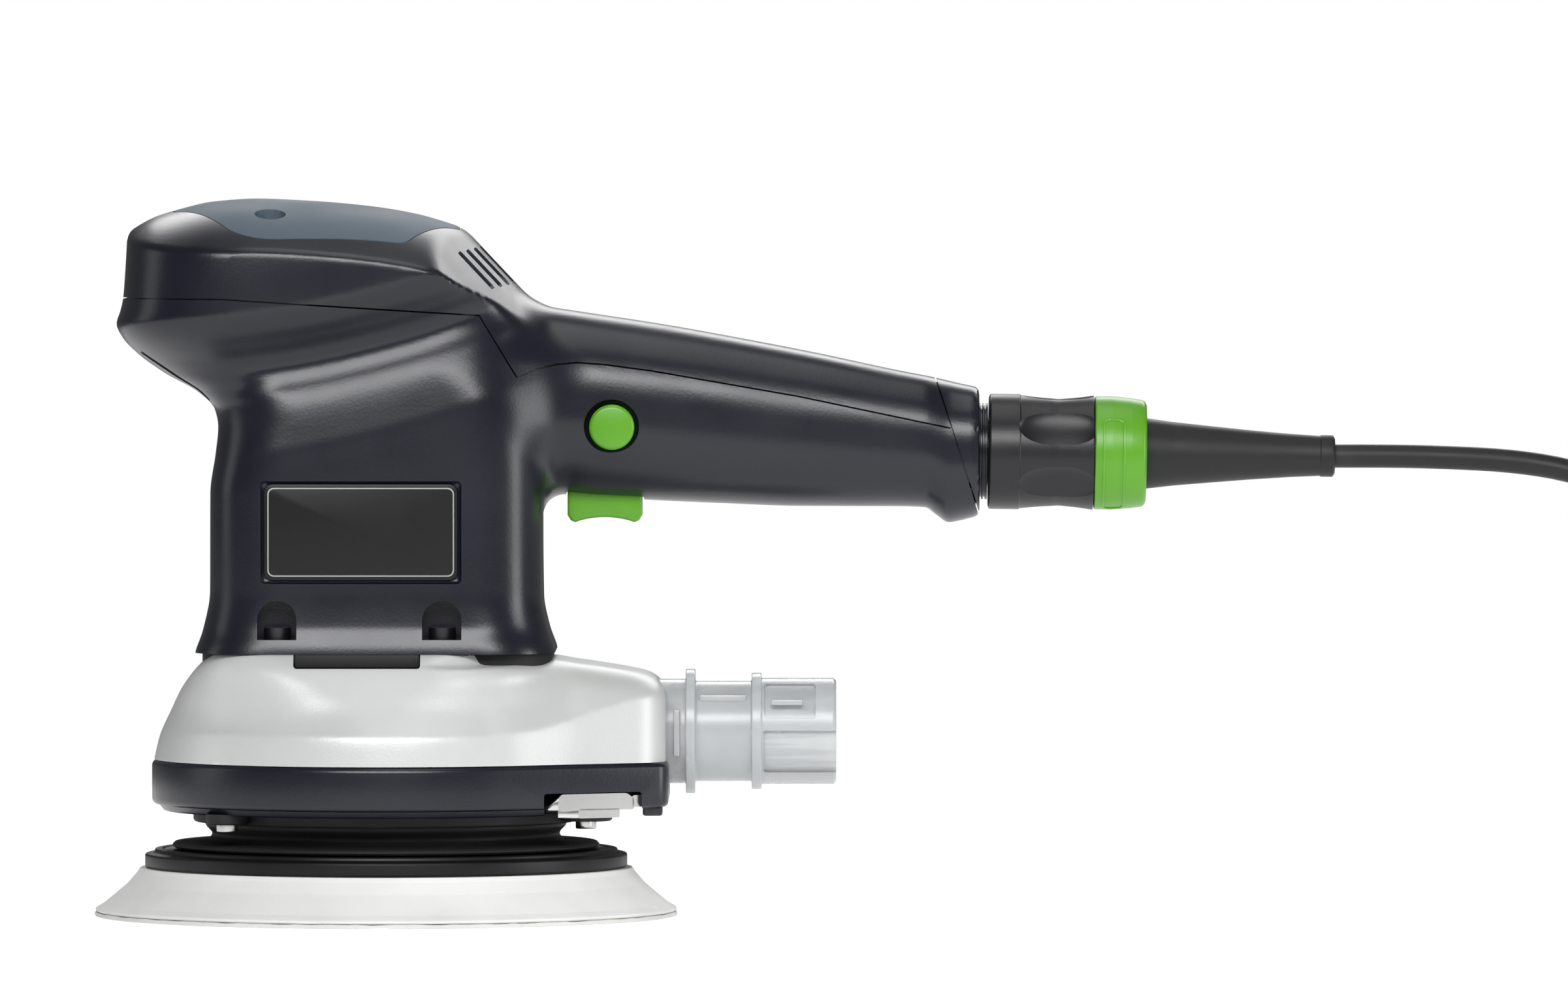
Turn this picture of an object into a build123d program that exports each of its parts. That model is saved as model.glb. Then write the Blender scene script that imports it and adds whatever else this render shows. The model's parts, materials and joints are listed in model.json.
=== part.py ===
from build123d import *
import math
import os

# Random-orbit sander with a palm-grip head, a long rear handle and a detachable mains lead.
# Millimetres. The origin is the motor axis on the work surface, +X runs along the handle, +Z is up.

# ---- driving dimensions ----
FIT = 0.05          # radial clearance of a running fit
CLEAR = 0.3         # clearance between parts that only pass each other

# pad
PAD_R = 75.0
ORBIT = 2.5         # offset of the pad's axis from the motor's axis
HOOK_T = 1.2
FOAM_TOP = 12.4
FOAM_TOP_R = 63.5
PLATE_R = 62.0
PLATE_TOP = 17.4
PAD_CENTRE_HOLE_R = 9.0
DUST_HOLE_R = 5.0
DUST_HOLE_PCD = 80.0
DUST_HOLES = 6
PAD_BOSS_R = 11.0
PAD_BOSS_TOP = 24.0
PAD_SCREW_R = 4.0
SPINDLE_R = 6.0
SPINDLE_TOP = 45.0

# eccentric drive
PAD_BEARING_R = 13.0
PAD_BEARING_T = 7.0
HUB_WALL = 4.0
HUB_BOTTOM = 27.5
HUB_FLOOR = 46.0
HUB_COLLAR_BOTTOM = 49.0
HUB_COLLAR_R = 11.0
COUNTERWEIGHT_R = 27.0
DUST_FAN_R = 40.0
DUST_FAN_Z = 58.0
SHAFT_R = 5.0
SHAFT_TIP_R = 4.0

# motor
LOWER_BEARING_Z = 64.0
LOWER_BEARING_R = 13.0
LOWER_BEARING_T = 8.0
COOLING_FAN_Z = 77.0
COOLING_FAN_R = 30.0
CORE_BOTTOM = 92.0
CORE_TOP = 124.0
ROTOR_R = 17.0
AIR_GAP = 0.6
STATOR_R = 31.0
WINDING_H = 6.0
COMMUTATOR_R = 11.0
COMMUTATOR_Z = 134.0
COMMUTATOR_H = 12.0
BRUSH_Z = COMMUTATOR_Z + COMMUTATOR_H / 2
UPPER_BEARING_Z = 150.0
UPPER_BEARING_R = 11.0
UPPER_BEARING_T = 7.0
BRIDGE_R = STATOR_R + 1.0

# housing shells
WALL = 2.8
HOUSING_BOTTOM = 68.3
HEAD_TOP = 184.2
HEAD_HALF_W = 45.0
BARREL_HALF_W = STATOR_R + 7.0
HANDLE_END_X = 152.3
HANDLE_R = 17.0
INSERT_T = 2.5
CAP_SCREW_X = -28.9
CAP_SCREW_Y = 24.0
CAP_SCREW_HEAD_Z = 168.0
CAP_SCREW_HEAD_R = 4.0
CAP_SCREW_R = 2.0
CAP_POST_R = 9.0     # reaches the side wall, which carries the post
CAP_BOSS_R = 5.2
HOUSING_SCREW_Y = BARREL_HALF_W - 4.5
HOUSING_SCREWS = [(x, y) for x in (-26.8, 15.2) for y in (-HOUSING_SCREW_Y, HOUSING_SCREW_Y)]
VENT_COUNT = 8
VENT_PITCH = 6.0
VENT_W = 2.2

# dust hood, base ring and dust port
HOOD_BOTTOM = 40.4
HOOD_R = 59.6
HOOD_WALL = 2.6
HOOD_REAR_X = 72.0
RING_R = 60.1
RING_BOTTOM = 27.2
RING_WALL = 3.2
RETAINING_SCREW_R = 54.0
RETAINING_SCREW_ANGLES = (103.0, 223.0, 343.0)
DUCT_HALF_W = 27.0
PORT_Z = 47.4
PORT_BORE_R = 11.4
PORT_SEAT_R = PORT_BORE_R + 2.0  # the part that sits in the hood
PORT_END_X = 115.7

# controls
TRIGGER_X = 56.35
TRIGGER_L = 19.1
TRIGGER_W = 16.0
TRIGGER_BOTTOM = 101.2
TRIGGER_TOP = 115.0
BUTTON_X = 58.3
BUTTON_Z = 125.9
BUTTON_R = 5.8
BUTTON_INNER_Y = -12.0
BUTTON_OUTER_Y = -26.4
SWITCH_Z = 124.0
SWITCH_FACE_Y = -5.0
DIAL_X = 100.0
DIAL_Y = 12.5
DIAL_Z = 125.0
DIAL_R = 11.0
DIAL_T = 5.0

# mains lead
LEAD_X = 154.5
LEAD_Z = 119.3
LEAD_TILT = 0.8     # degrees that the connector's axis droops towards the rear
SOCKET_R = 9.0
SOCKET_DEPTH = 26.0
PIN_OFFSET = 4.5
NECK_R = 12.35
CORE_R = 9.95
SLEEVE_R = 14.8
SLEEVE_L = 27.4
RING_L = 13.4
BOOT_R = 9.1
BOOT_TIP_R = 5.2
BOOT_END = 89.3
CORD_D = 6.0
COIL_X = 432.0
COIL_Y = 12.0
COIL_BASE = 1.2
COIL_TURN_R = 48.8  # centre line of the outermost turn
COIL_LAYERS = 4
COIL_ROWS = 4
COIL_PITCH = 6.1
TIE_W = 14.0
TIE_T = 1.2
PLUG_X = COIL_X + 34.5
PLUG_Y = COIL_Y - 4.8
PLUG_Z = 33.4
PLUG_PIN_R = 2.4
PLUG_PIN_SPACING = 19.0


# ---- helpers ----
def disc(z0, z1, r, x=0.0, y=0.0):
    return Pos(x, y, (z0 + z1) / 2) * Cylinder(r, z1 - z0)


def ring(z0, z1, r_out, r_in, x=0.0, y=0.0):
    return disc(z0, z1, r_out, x, y) - disc(z0 - 1, z1 + 1, r_in, x, y)


def block(x0, x1, y0, y1, z0, z1):
    return Pos((x0 + x1) / 2, (y0 + y1) / 2, (z0 + z1) / 2) * Box(x1 - x0, y1 - y0, z1 - z0)


def side_block(side, x0, x1, near, far, z0, z1):
    """A box between two distances from the middle plane, on that side of it."""
    return block(x0, x1, min(side * near, side * far), max(side * near, side * far), z0, z1)


def rod_x(x0, x1, r, y=0.0, z=0.0):
    return Pos((x0 + x1) / 2, y, z) * Rot(0, 90, 0) * Cylinder(r, x1 - x0)


def rod_y(y0, y1, r, x=0.0, z=0.0):
    return Pos(x, (y0 + y1) / 2, z) * Rot(90, 0, 0) * Cylinder(r, y1 - y0)


def turned(points, y=0.0):
    """A solid of revolution about Z from (radius, height) points."""
    outline = make_face(Polyline([(r, 0, z) for r, z in points], close=True))
    return Pos(0, y, 0) * revolve(outline, Axis.Z)


def turned_x(points):
    """A solid of revolution about X from (x, radius) points."""
    outline = make_face(Polyline([(x, 0, r) for x, r in points], close=True))
    return revolve(outline, Axis.X)


def prism_y(points, half_width):
    """An X-Z outline carried through to both sides."""
    return extrude(make_face(Polyline([(x, 0, z) for x, z in points], close=True)), half_width, both=True)


def loft_z(sections, inset=0.0):
    """Rounded sections (z, front, rear, half width, corner), pulled in by inset all round."""
    faces = []
    for z, front, rear, half_w, corner in sections:
        length = rear - front - 2 * inset
        width = 2 * (half_w - inset)
        radius = min(max(corner - inset, 1.0), 0.499 * length, 0.499 * width)
        faces.append(Plane(((front + rear) / 2, 0, z)) * RectangleRounded(length, width, radius))
    return loft(faces, ruled=True)


def loft_x(sections, inset=0.0):
    """Rounded sections (x, bottom, top, half width, corner) along the handle, pulled in by inset."""
    faces = []
    for x, bottom, top, half_w, corner in sections:
        height = top - bottom - 2 * inset
        width = 2 * (half_w - inset)
        radius = min(max(corner - inset, 1.0), 0.499 * height, 0.499 * width)
        place = Plane(origin=(x, 0, (bottom + top) / 2), x_dir=(0, 1, 0), z_dir=(1, 0, 0))
        faces.append(place * RectangleRounded(width, height, radius))
    return loft(faces, ruled=True)


def lead(shape):
    """Places a shape built along X from the inlet's mouth."""
    return Pos(LEAD_X, 0, LEAD_Z) * Rot(0, LEAD_TILT, 0) * shape


def group(shapes):
    return Compound(children=list(shapes))


# ---- housing ----
def head_sections():
    side, barrel = HEAD_HALF_W, BARREL_HALF_W
    return [
        (HOUSING_BOTTOM, -48.2, 43.7, barrel + 2.4, 20),
        (79.0, -45.3, 40.8, barrel, 20),
        (86.0, -44.5, 40.3, barrel, 20),
        (124.5, -42.3, 40.3, barrel, 20),
        (132.0, -44.5, 41.0, barrel + 1.5, 20),
        (142.1, -60.1, 41.0, side - 2.5, 26),
        (148.5, -67.2, 40.0, side - 0.5, 30),
        (152.2, -68.5, 38.5, side, 32),
        (158.7, -66.8, 36.5, side, 32),
        (168.0, -66.2, 29.0, side - 1.5, 30),
        (175.0, -64.9, 21.5, side - 6, 28),
        (180.0, -57.5, 8.0, side - 15, 24),
        (183.0, -46.0, -8.0, side - 26, 16),
        (HEAD_TOP, -38.5, -19.0, side - 36, 8),
    ]


def handle_sections():
    return [
        (0.0, 110.0, 156.0, 24.0, HANDLE_R),
        (36.5, 108.5, 158.0, 24.5, HANDLE_R),
        (46.8, 108.0, 155.5, 24.0, HANDLE_R),
        (66.9, 106.9, 152.6, 23.0, HANDLE_R),
        (107.0, 105.3, 145.3, 20.5, HANDLE_R),
        (139.8, 105.1, 138.6, 18.5, HANDLE_R - 2),
        (144.6, 101.0, 137.6, 18.3, HANDLE_R - 2),
        (HANDLE_END_X, 102.6, 135.4, 17.5, HANDLE_R - 2),
    ]


def housing_outer():
    return loft_z(head_sections()) + loft_x(handle_sections())


def housing_inner():
    room = loft_z(head_sections(), WALL) - disc(HEAD_TOP - INSERT_T - WALL, HEAD_TOP + 5, 60)
    below = block(-48.2 + WALL, 43.7 - WALL, -36.5, 36.5, HOUSING_BOTTOM - 5, HOUSING_BOTTOM + 1)
    sections = handle_sections()[:-1]
    return room + below + loft_x(sections, WALL)


def rear_region():
    """Everything behind the slanting end seam."""
    return prism_y([(141.6, 136.3), (152.2, 103.2), (152.2, 80), (200, 80), (200, 200), (141.6, 200)], 60)


def upper_region():
    """Everything above the seam between the upper shell and the motor housing."""
    seam = [
        Polyline([(-90, 0, 158.7), (-40.8, 0, 158.5), (24.5, 0, 154.3), (34.1, 0, 138.5)]),
        ThreePointArc((34.1, 0, 138.5), (49.2, 0, 142.1), (68.6, 0, 140.0)),
        Polyline([(68.6, 0, 140.0), (146.4, 0, 125.0), (146.4, 0, 220), (-90, 0, 220), (-90, 0, 158.7)]),
    ]
    return extrude(make_face(Wire(Curve() + seam)), 60, both=True)


def insert_region():
    """The top insert's outline seen from above, carried down to its lower edge."""
    outline = Pos(-17.5, 0, 171.0) * RectangleRounded(71.0, 64.0, 26.0)
    return extrude(outline, 20)


def vent_slots():
    """Slots that run down the rear slope of the head."""
    first = -VENT_PITCH * (VENT_COUNT - 1) / 2
    slot = Rot(0, 48, 0) * Box(15, VENT_W, 16)
    return [Pos(26.5, first + i * VENT_PITCH, 165.3) * slot for i in range(VENT_COUNT)]


def cap_web(side):
    """A web that ties the lower cap-screw boss to the wall."""
    y = side * CAP_SCREW_Y
    reach = HEAD_HALF_W - 1
    return block(CAP_SCREW_X - 1.5, CAP_SCREW_X + 1.5, min(y, side * reach), max(y, side * reach), 140, 158)


def cap_posts():
    return [disc(158.7, 180, CAP_POST_R, CAP_SCREW_X, side * CAP_SCREW_Y) for side in (-1, 1)]


def cap_bores():
    bores = []
    for side in (-1, 1):
        bores.append(disc(CAP_SCREW_HEAD_Z, 190, CAP_SCREW_HEAD_R, CAP_SCREW_X, side * CAP_SCREW_Y))
        bores.append(disc(130, CAP_SCREW_HEAD_Z, CAP_SCREW_R, CAP_SCREW_X, side * CAP_SCREW_Y))
    return bores


def shells(outer, inner):
    hollow = outer - inner - rear_region() - inlet_tube() - inlet_neck()
    upper = hollow & upper_region()
    lower = hollow - upper_region()
    return upper, lower


def upper_shell(upper, outer):
    posts = [post & outer for post in cap_posts()]
    body = upper + posts - insert_volume(outer)
    for cut in vent_slots() + cap_bores():
        body -= cut
    return body


def insert_volume(outer):
    return (outer & insert_region()) - Pos(0, 0, -INSERT_T) * outer


def top_grip_insert(outer):
    insert = insert_volume(outer)
    for bore in cap_bores():
        insert -= bore
    return insert


def name_plate_cut(side, depth):
    y = side * BARREL_HALF_W
    return block(-31.1, 20.2, min(y, y - side * depth), max(y, y - side * depth), 86.2, 112.4)


def name_plates():
    """Two blank plates let into the barrel's sides."""
    plates = []
    for side in (-1, 1):
        y = side * (BARREL_HALF_W - 0.1)
        plate = block(-30.1, 19.2, min(y, y - side * 0.6), max(y, y - side * 0.6), 87.2, 111.6)
        plates.append(fillet(plate.edges().filter_by(Axis.Y), 2.0))
    return group(plates)


def screw_pocket(x, y):
    """An arched pocket open to the side, with a flat floor for the screw's head."""
    out = 8.0 if y > 0 else -8.0
    low = block(x - 5, x + 5, min(y - out / 2, y + out), max(y - out / 2, y + out), 72.0, 77.0)
    arch = rod_y(min(y - out / 2, y + out), max(y - out / 2, y + out), 5.0, x, 77.0)
    return low + arch


def motor_housing(lower, outer):
    body = lower
    for x, y in HOUSING_SCREWS:
        side = 1 if y > 0 else -1
        body += side_block(side, x - 7, x + 7, BARREL_HALF_W - 8.5, BARREL_HALF_W - 1, HOUSING_BOTTOM, 85)
    for side in (-1, 1):
        boss = disc(140, 158.4, CAP_BOSS_R, CAP_SCREW_X, side * CAP_SCREW_Y) + (cap_web(side) & outer)
        body += boss - upper_region()
        body += side_block(side, -3, 3, STATOR_R - 3, BARREL_HALF_W - 1, CORE_BOTTOM + 2, CORE_TOP - 2)
    body += block(-43, -28, -3, 3, CORE_BOTTOM + 2, CORE_TOP - 2)
    body += block(28, 39, -3, 3, CORE_BOTTOM + 2, CORE_TOP - 2)
    body -= disc(CORE_BOTTOM, CORE_TOP, STATOR_R)
    for x, y in HOUSING_SCREWS:
        body -= screw_pocket(x, y)
        body -= disc(60, 73, 1.8 + 0.2, x, y)
    for side in (-1, 1):
        body -= name_plate_cut(side, 0.7)
    body -= block(TRIGGER_X - TRIGGER_L / 2 - 0.4, TRIGGER_X + TRIGGER_L / 2 + 0.4,
                  -TRIGGER_W / 2 - 0.4, TRIGGER_W / 2 + 0.4, 100, 112)
    body -= rod_y(-30, -18, BUTTON_R + CLEAR, BUTTON_X, BUTTON_Z)
    body -= rod_y(-30, BUTTON_OUTER_Y + 3.8, 7.9, BUTTON_X, BUTTON_Z)
    body -= block(DIAL_X - 10.4, DIAL_X + 10.4, 14, 26, DIAL_Z - DIAL_T / 2 - 0.5, DIAL_Z + DIAL_T / 2 + 0.5)
    for bore in cap_bores():
        body -= bore
    return body


def cap_screws():
    screws = []
    for side in (-1, 1):
        y = side * CAP_SCREW_Y
        head = disc(CAP_SCREW_HEAD_Z, CAP_SCREW_HEAD_Z + 3, 3.7, CAP_SCREW_X, y)
        socket = disc(CAP_SCREW_HEAD_Z + 1, CAP_SCREW_HEAD_Z + 4, 1.5, CAP_SCREW_X, y)
        screws.append(head - socket + disc(143, CAP_SCREW_HEAD_Z, 2.0, CAP_SCREW_X, y))
    return group(screws)


def housing_screws():
    screws = []
    for x, y in HOUSING_SCREWS:
        head = disc(72, 75, 3.4, x, y) - disc(73.2, 76, 1.4, x, y)
        screws.append(head + disc(61.6, 72, 1.8, x, y))
    return group(screws)


# ---- dust hood, base ring, port ----
def hood_outer(inset=0.0):
    sections = [
        (HOOD_BOTTOM, -HOOD_R, HOOD_R, HOOD_R, HOOD_R),
        (48.4, -HOOD_R + 2.3, HOOD_R - 2.0, HOOD_R - 2.2, HOOD_R),
        (56.0, -54.3, 54.0, 53.0, 44),
        (63.1, -50.0, 46.0, 46.0, 30),
        (HOUSING_BOTTOM, -38.5, 29.3, 36.0, 18),
    ]
    duct = [
        (15.0, HOOD_BOTTOM - 10, 66.0, 38.0, 14),
        (43.0, HOOD_BOTTOM - 10, 66.1, 33.0, 14),
        (HOOD_REAR_X, HOOD_BOTTOM - 10, 62.3, DUCT_HALF_W, 12),
    ]
    whole = loft_z(sections, inset) + (loft_x(duct, inset) - block(0, 90, -60, 60, 0, HOOD_BOTTOM))
    return whole


def hood_boss(x, y):
    return disc(61.2, 66.5, 4.6, x, y)


def tongue(side):
    """The gasket's tongue in the hood's side notch."""
    return side_block(side, -22.5, 9.8, 34, 52, 64.8, HOUSING_BOTTOM)


def dust_hood():
    outer = hood_outer()
    room = hood_outer(HOOD_WALL) - disc(HOUSING_BOTTOM - HOOD_WALL, 80, 80)
    skirt = disc(HOOD_BOTTOM - 3, HOOD_BOTTOM + 1, HOOD_R - HOOD_WALL)
    body = outer - room - skirt
    for x, y in HOUSING_SCREWS:
        body += hood_boss(x, y) & outer
    body -= disc(60, 70, LOWER_BEARING_R + 3.5)
    body -= rod_x(60, 80, PORT_SEAT_R + 0.1, 0, PORT_Z)
    for x, y in HOUSING_SCREWS:
        body -= disc(50, 75, 1.8, x, y)
    for side in (-1, 1):
        body -= tongue(side)
    return body


def hood_gasket(outer_hood, lower_outline):
    slab = block(-46.4, 43.2, -38.5, 38.5, 65.0, HOUSING_BOTTOM) & lower_outline
    body = slab - outer_hood
    for side in (-1, 1):
        body += tongue(side) & lower_outline
    for x, y in HOUSING_SCREWS:
        body -= disc(50, 75, 1.8, x, y)
    return body


def ring_outline(z0, z1, inset=0.0):
    body = disc(z0, z1, RING_R - inset)
    half = DUCT_HALF_W + 0.5 - inset
    return body + block(10, HOOD_REAR_X + 0.8 - inset, -half, half, z0, z1)


def base_ring():
    body = ring_outline(RING_BOTTOM, HOOD_BOTTOM)
    body -= ring_outline(RING_BOTTOM + 3, HOOD_BOTTOM + 1, RING_WALL)
    body -= disc(RING_BOTTOM - 1, RING_BOTTOM + 4, 46.0)
    lip = ring(RING_BOTTOM + 3, HOOD_BOTTOM, 49.5, 46.0)
    body += lip
    body -= block(41.3, 66.0, -50, -22, RING_BOTTOM - 1, 33.1)
    body += block(41.3, 66.0, -27.5, -22, 33.1, 36.0) & ring_outline(33.1, 36.0)
    for x, y in ring_screw_places():
        body -= disc(RING_BOTTOM - 1, 40, 1.8, x, y)
    return body - rod_x(60, 80, PORT_SEAT_R, 0, PORT_Z)


def clamp_plate():
    """A bevelled steel plate in the base ring's rear notch."""
    plate = block(42.1, 64.1, -42.0, -23.0, 29.0, 32.8)
    plate = chamfer(plate.faces().sort_by(Axis.Z)[-1].edges(), 1.2)
    flange = block(45.0, 60.0, -38.0, -23.0, 26.6, 29.0)
    return plate + flange - disc(25, 40, 1.8, 51.7, -30.0)


def clamp_plate_screw():
    return disc(24.2, 26.6, 2.1, 51.7, -30.0) + disc(26.6, 32.0, 1.8, 51.7, -30.0)


def port_outside(x1):
    """Everything outside the port's end wall, from its last collar to x1."""
    r = PORT_BORE_R + 1.1
    return turned_x([(97, r), (97, 20), (x1, 20), (x1, r)])


def dust_port():
    r = PORT_BORE_R
    outline = [
        (HOOD_REAR_X - 5, r), (HOOD_REAR_X - 5, PORT_SEAT_R), (77.1, PORT_SEAT_R), (77.1, r + 4.6), (79.5, r + 4.6),
        (79.5, r + 1.45), (94.0, r + 1.45), (94.0, r + 3.55), (96.5, r + 3.55), (96.5, r + 2.25),
        (PORT_END_X - 1, r + 2.25), (PORT_END_X, r + 1.5), (PORT_END_X, r),
    ]
    tube = turned_x(outline)
    tube += block(80.7, 92.7, -r + 0.8, -r + 3.0, 8.0, 9.5) - rod_x(70, 100, r)
    window = block(97.2, 110.4, -r - 4.6, -r + 2.4, 3.7, 12.3) & port_outside(112)
    entry = block(97.0, PORT_END_X + 1, -r - 4.6, -r + 3.4, -10.3, 0.6) & port_outside(118)
    rib = block(99.0, 107.0, -r - 2, -r + 1.4, 7.1, 8.4) & turned_x(
        [(97, r + 1), (97, r + 2.2), (112, r + 2.2), (112, r + 1)])
    return Pos(0, 0, PORT_Z) * (tube - window - entry + rib)


def ring_screw_places():
    turns = [math.radians(a) for a in RETAINING_SCREW_ANGLES]
    return [(RETAINING_SCREW_R * math.cos(t), RETAINING_SCREW_R * math.sin(t)) for t in turns]


def retaining_ring():
    body = ring(24.4, RING_BOTTOM, 49.5, 42.0)
    for x, y in ring_screw_places():
        body += disc(24.9, RING_BOTTOM, 5.4, x, y)
    for x, y in ring_screw_places():
        body -= disc(20, 30, 1.8, x, y)
    return body


def retaining_screws():
    heads = []
    for x, y in ring_screw_places():
        head = disc(22.9, 24.9, 3.0, x, y) - disc(22, 24, 1.3, x, y)
        heads.append(head + disc(24.9, 34.0, 1.8, x, y))
    return group(heads)


def brake_cuff():
    """The rubber cuff that bears on the pad's plate and stops it spinning up."""
    low = PLATE_TOP + CLEAR
    return turned([(42.0, 27.2), (42.0, 24.4), (46.5, 24.4), (46.5, 22.5), (44.0, 20.4), (55.0, 19.2),
                   (55.0, low), (41.0, low), (41.0, 19.0), (40.5, 24.0), (40.0, 27.2)])


# ---- pad ----
def dust_holes(z0, z1):
    steps = [math.radians(360 / DUST_HOLES * i) for i in range(DUST_HOLES)]
    radius = DUST_HOLE_PCD / 2
    return [disc(z0, z1, DUST_HOLE_R, radius * math.cos(t), ORBIT + radius * math.sin(t)) for t in steps]


def hook_face():
    body = ring(0, HOOK_T, PAD_R, PAD_CENTRE_HOLE_R, 0, ORBIT)
    for hole in dust_holes(-1, HOOK_T + 1):
        body -= hole
    return body


def pad_foam():
    body = turned([(PAD_R, HOOK_T), (PAD_R - 0.6, HOOK_T + 1.2), (66.4, 8.2), (FOAM_TOP_R, FOAM_TOP),
                   (PAD_BOSS_R, FOAM_TOP), (PAD_BOSS_R, HOOK_T)], ORBIT)
    for hole in dust_holes(0, FOAM_TOP + 1):
        body -= hole
    return body


def pad_plate():
    boss_bottom = 9.0
    body = turned([(PLATE_R, FOAM_TOP), (PLATE_R, PLATE_TOP - 1.2), (PLATE_R - 2.5, PLATE_TOP - 1.0),
                   (PLATE_R - 2.5, PLATE_TOP), (PAD_BOSS_R, PLATE_TOP), (PAD_BOSS_R, PAD_BOSS_TOP),
                   (PAD_SCREW_R + 0.2, PAD_BOSS_TOP), (PAD_SCREW_R + 0.2, boss_bottom),
                   (PAD_BOSS_R, boss_bottom), (PAD_BOSS_R, FOAM_TOP)], ORBIT)
    for hole in dust_holes(0, PLATE_TOP + 1):
        body -= hole
    return body


def pad_washer():
    return ring(7.6, 9.0, 8.5, PAD_SCREW_R + 0.2, 0, ORBIT)


def pad_screw():
    head = disc(3.6, 7.6, 6.5, 0, ORBIT) - Pos(0, ORBIT, 4.2) * extrude(RegularPolygon(3.0, 6), -2.0)
    return head + disc(7.6, 36.0, PAD_SCREW_R, 0, ORBIT)


def pad_spindle():
    flange = disc(PAD_BOSS_TOP, 26.5, 10.0, 0, ORBIT)
    body = flange + disc(26.5, SPINDLE_TOP, SPINDLE_R, 0, ORBIT)
    return body - disc(20, 36.0, PAD_SCREW_R, 0, ORBIT)


# ---- rotor ----
def pad_bearings():
    first = HUB_BOTTOM + 1.0
    starts = (first, first + PAD_BEARING_T + 1.5)
    return group([ring(z, z + PAD_BEARING_T, PAD_BEARING_R, SPINDLE_R + FIT, 0, ORBIT) for z in starts])


def eccentric_hub():
    cup = ring(HUB_BOTTOM, HUB_COLLAR_BOTTOM, PAD_BEARING_R + HUB_WALL, PAD_BEARING_R, 0, ORBIT)
    floor = disc(HUB_FLOOR, HUB_COLLAR_BOTTOM, PAD_BEARING_R + HUB_WALL, 0, ORBIT)
    collar = ring(HUB_COLLAR_BOTTOM, DUST_FAN_Z + 2, HUB_COLLAR_R, SHAFT_R)
    return cup + floor + collar


def counterweight():
    weight = ring(HUB_COLLAR_BOTTOM, DUST_FAN_Z - 1, COUNTERWEIGHT_R, HUB_COLLAR_R)
    return weight & block(-40, 40, -40, -3, 0, 80)


def dust_fan():
    body = ring(DUST_FAN_Z, DUST_FAN_Z + 2, DUST_FAN_R, HUB_COLLAR_R)
    blade = block(COUNTERWEIGHT_R + 2, DUST_FAN_R - 0.5, -0.8, 0.8, 49, DUST_FAN_Z + 1)
    for i in range(10):
        body += Rot(0, 0, 36 * i) * blade
    return body


def motor_shaft():
    tip = UPPER_BEARING_Z
    return disc(HUB_COLLAR_BOTTOM, tip, SHAFT_R) + disc(tip, tip + UPPER_BEARING_T, SHAFT_TIP_R)


def cooling_fan():
    body = ring(COOLING_FAN_Z, COOLING_FAN_Z + 1.5, COOLING_FAN_R, SHAFT_R)
    body += ring(COOLING_FAN_Z, COOLING_FAN_Z + 6, 9, SHAFT_R)
    blade = block(12, COOLING_FAN_R - 0.5, -0.7, 0.7, COOLING_FAN_Z + 1, COOLING_FAN_Z + 7)
    for i in range(12):
        body += Rot(0, 0, 30 * i) * blade
    return body


def rotor_core():
    body = ring(CORE_BOTTOM, CORE_TOP, ROTOR_R, SHAFT_R)
    slot = block(ROTOR_R - 2.5, ROTOR_R + 1, -0.9, 0.9, CORE_BOTTOM - 1, CORE_TOP + 1)
    for i in range(12):
        body -= Rot(0, 0, 30 * i) * slot
    return body


def rotor_windings():
    coils = []
    ends = [(CORE_BOTTOM - WINDING_H, CORE_BOTTOM), (CORE_TOP, CORE_TOP + WINDING_H)]
    for z0, z1 in ends:
        coil = ring(z0, z1, ROTOR_R - 2, SHAFT_R)
        coils.append(fillet(coil.edges().sort_by(SortBy.LENGTH)[-2:], 1.5))
    return group(coils)


def commutator():
    body = ring(COMMUTATOR_Z, COMMUTATOR_Z + COMMUTATOR_H, COMMUTATOR_R, SHAFT_R)
    slot = block(COMMUTATOR_R - 0.8, COMMUTATOR_R + 1, -0.25, 0.25, COMMUTATOR_Z - 1, COMMUTATOR_Z + 20)
    for i in range(16):
        body -= Rot(0, 0, 22.5 * i) * slot
    return body


# ---- fixed motor parts ----
def stator_core():
    body = ring(CORE_BOTTOM, CORE_TOP, STATOR_R, ROTOR_R + AIR_GAP)
    window = ring(CORE_BOTTOM - 1, CORE_TOP + 1, 27.0, 21.0)
    wedge = block(-40, 40, -7, 7, 0, 200)
    return body - (window - wedge)


def stator_windings():
    """Field coils: bars through the core's windows, joined over its ends."""
    z0, z1 = CORE_BOTTOM - WINDING_H, CORE_TOP + WINDING_H
    wedge = block(-40, 40, -7.3, 7.3, 0, 200)
    return (ring(z0, z1, 26.8, 21.2) - wedge)


def bearing_plate():
    plate = disc(HOUSING_BOTTOM, HOUSING_BOTTOM + 3, 30.2)
    boss = disc(LOWER_BEARING_Z - 2, LOWER_BEARING_Z + LOWER_BEARING_T + 1.5, LOWER_BEARING_R + 3)
    body = plate + boss
    body -= disc(LOWER_BEARING_Z, LOWER_BEARING_Z + 20, LOWER_BEARING_R)
    body -= disc(50, 90, SHAFT_R + 2)
    for i in range(6):
        body -= Rot(0, 0, 60 * i + 30) * block(18.5, 27, -4, 4, 60, 80)
    return body


def bearing(z, thickness, r_out, shaft_r):
    """Outer and inner race in one closed ring with a groove each side for the shield."""
    body = ring(z, z + thickness, r_out, shaft_r + FIT)
    mid = (r_out + shaft_r) / 2
    for low in (z - 1, z + thickness - 0.6):
        body -= ring(low, low + 1.6, mid + 1.6, mid - 1.6)
    return body


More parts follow.
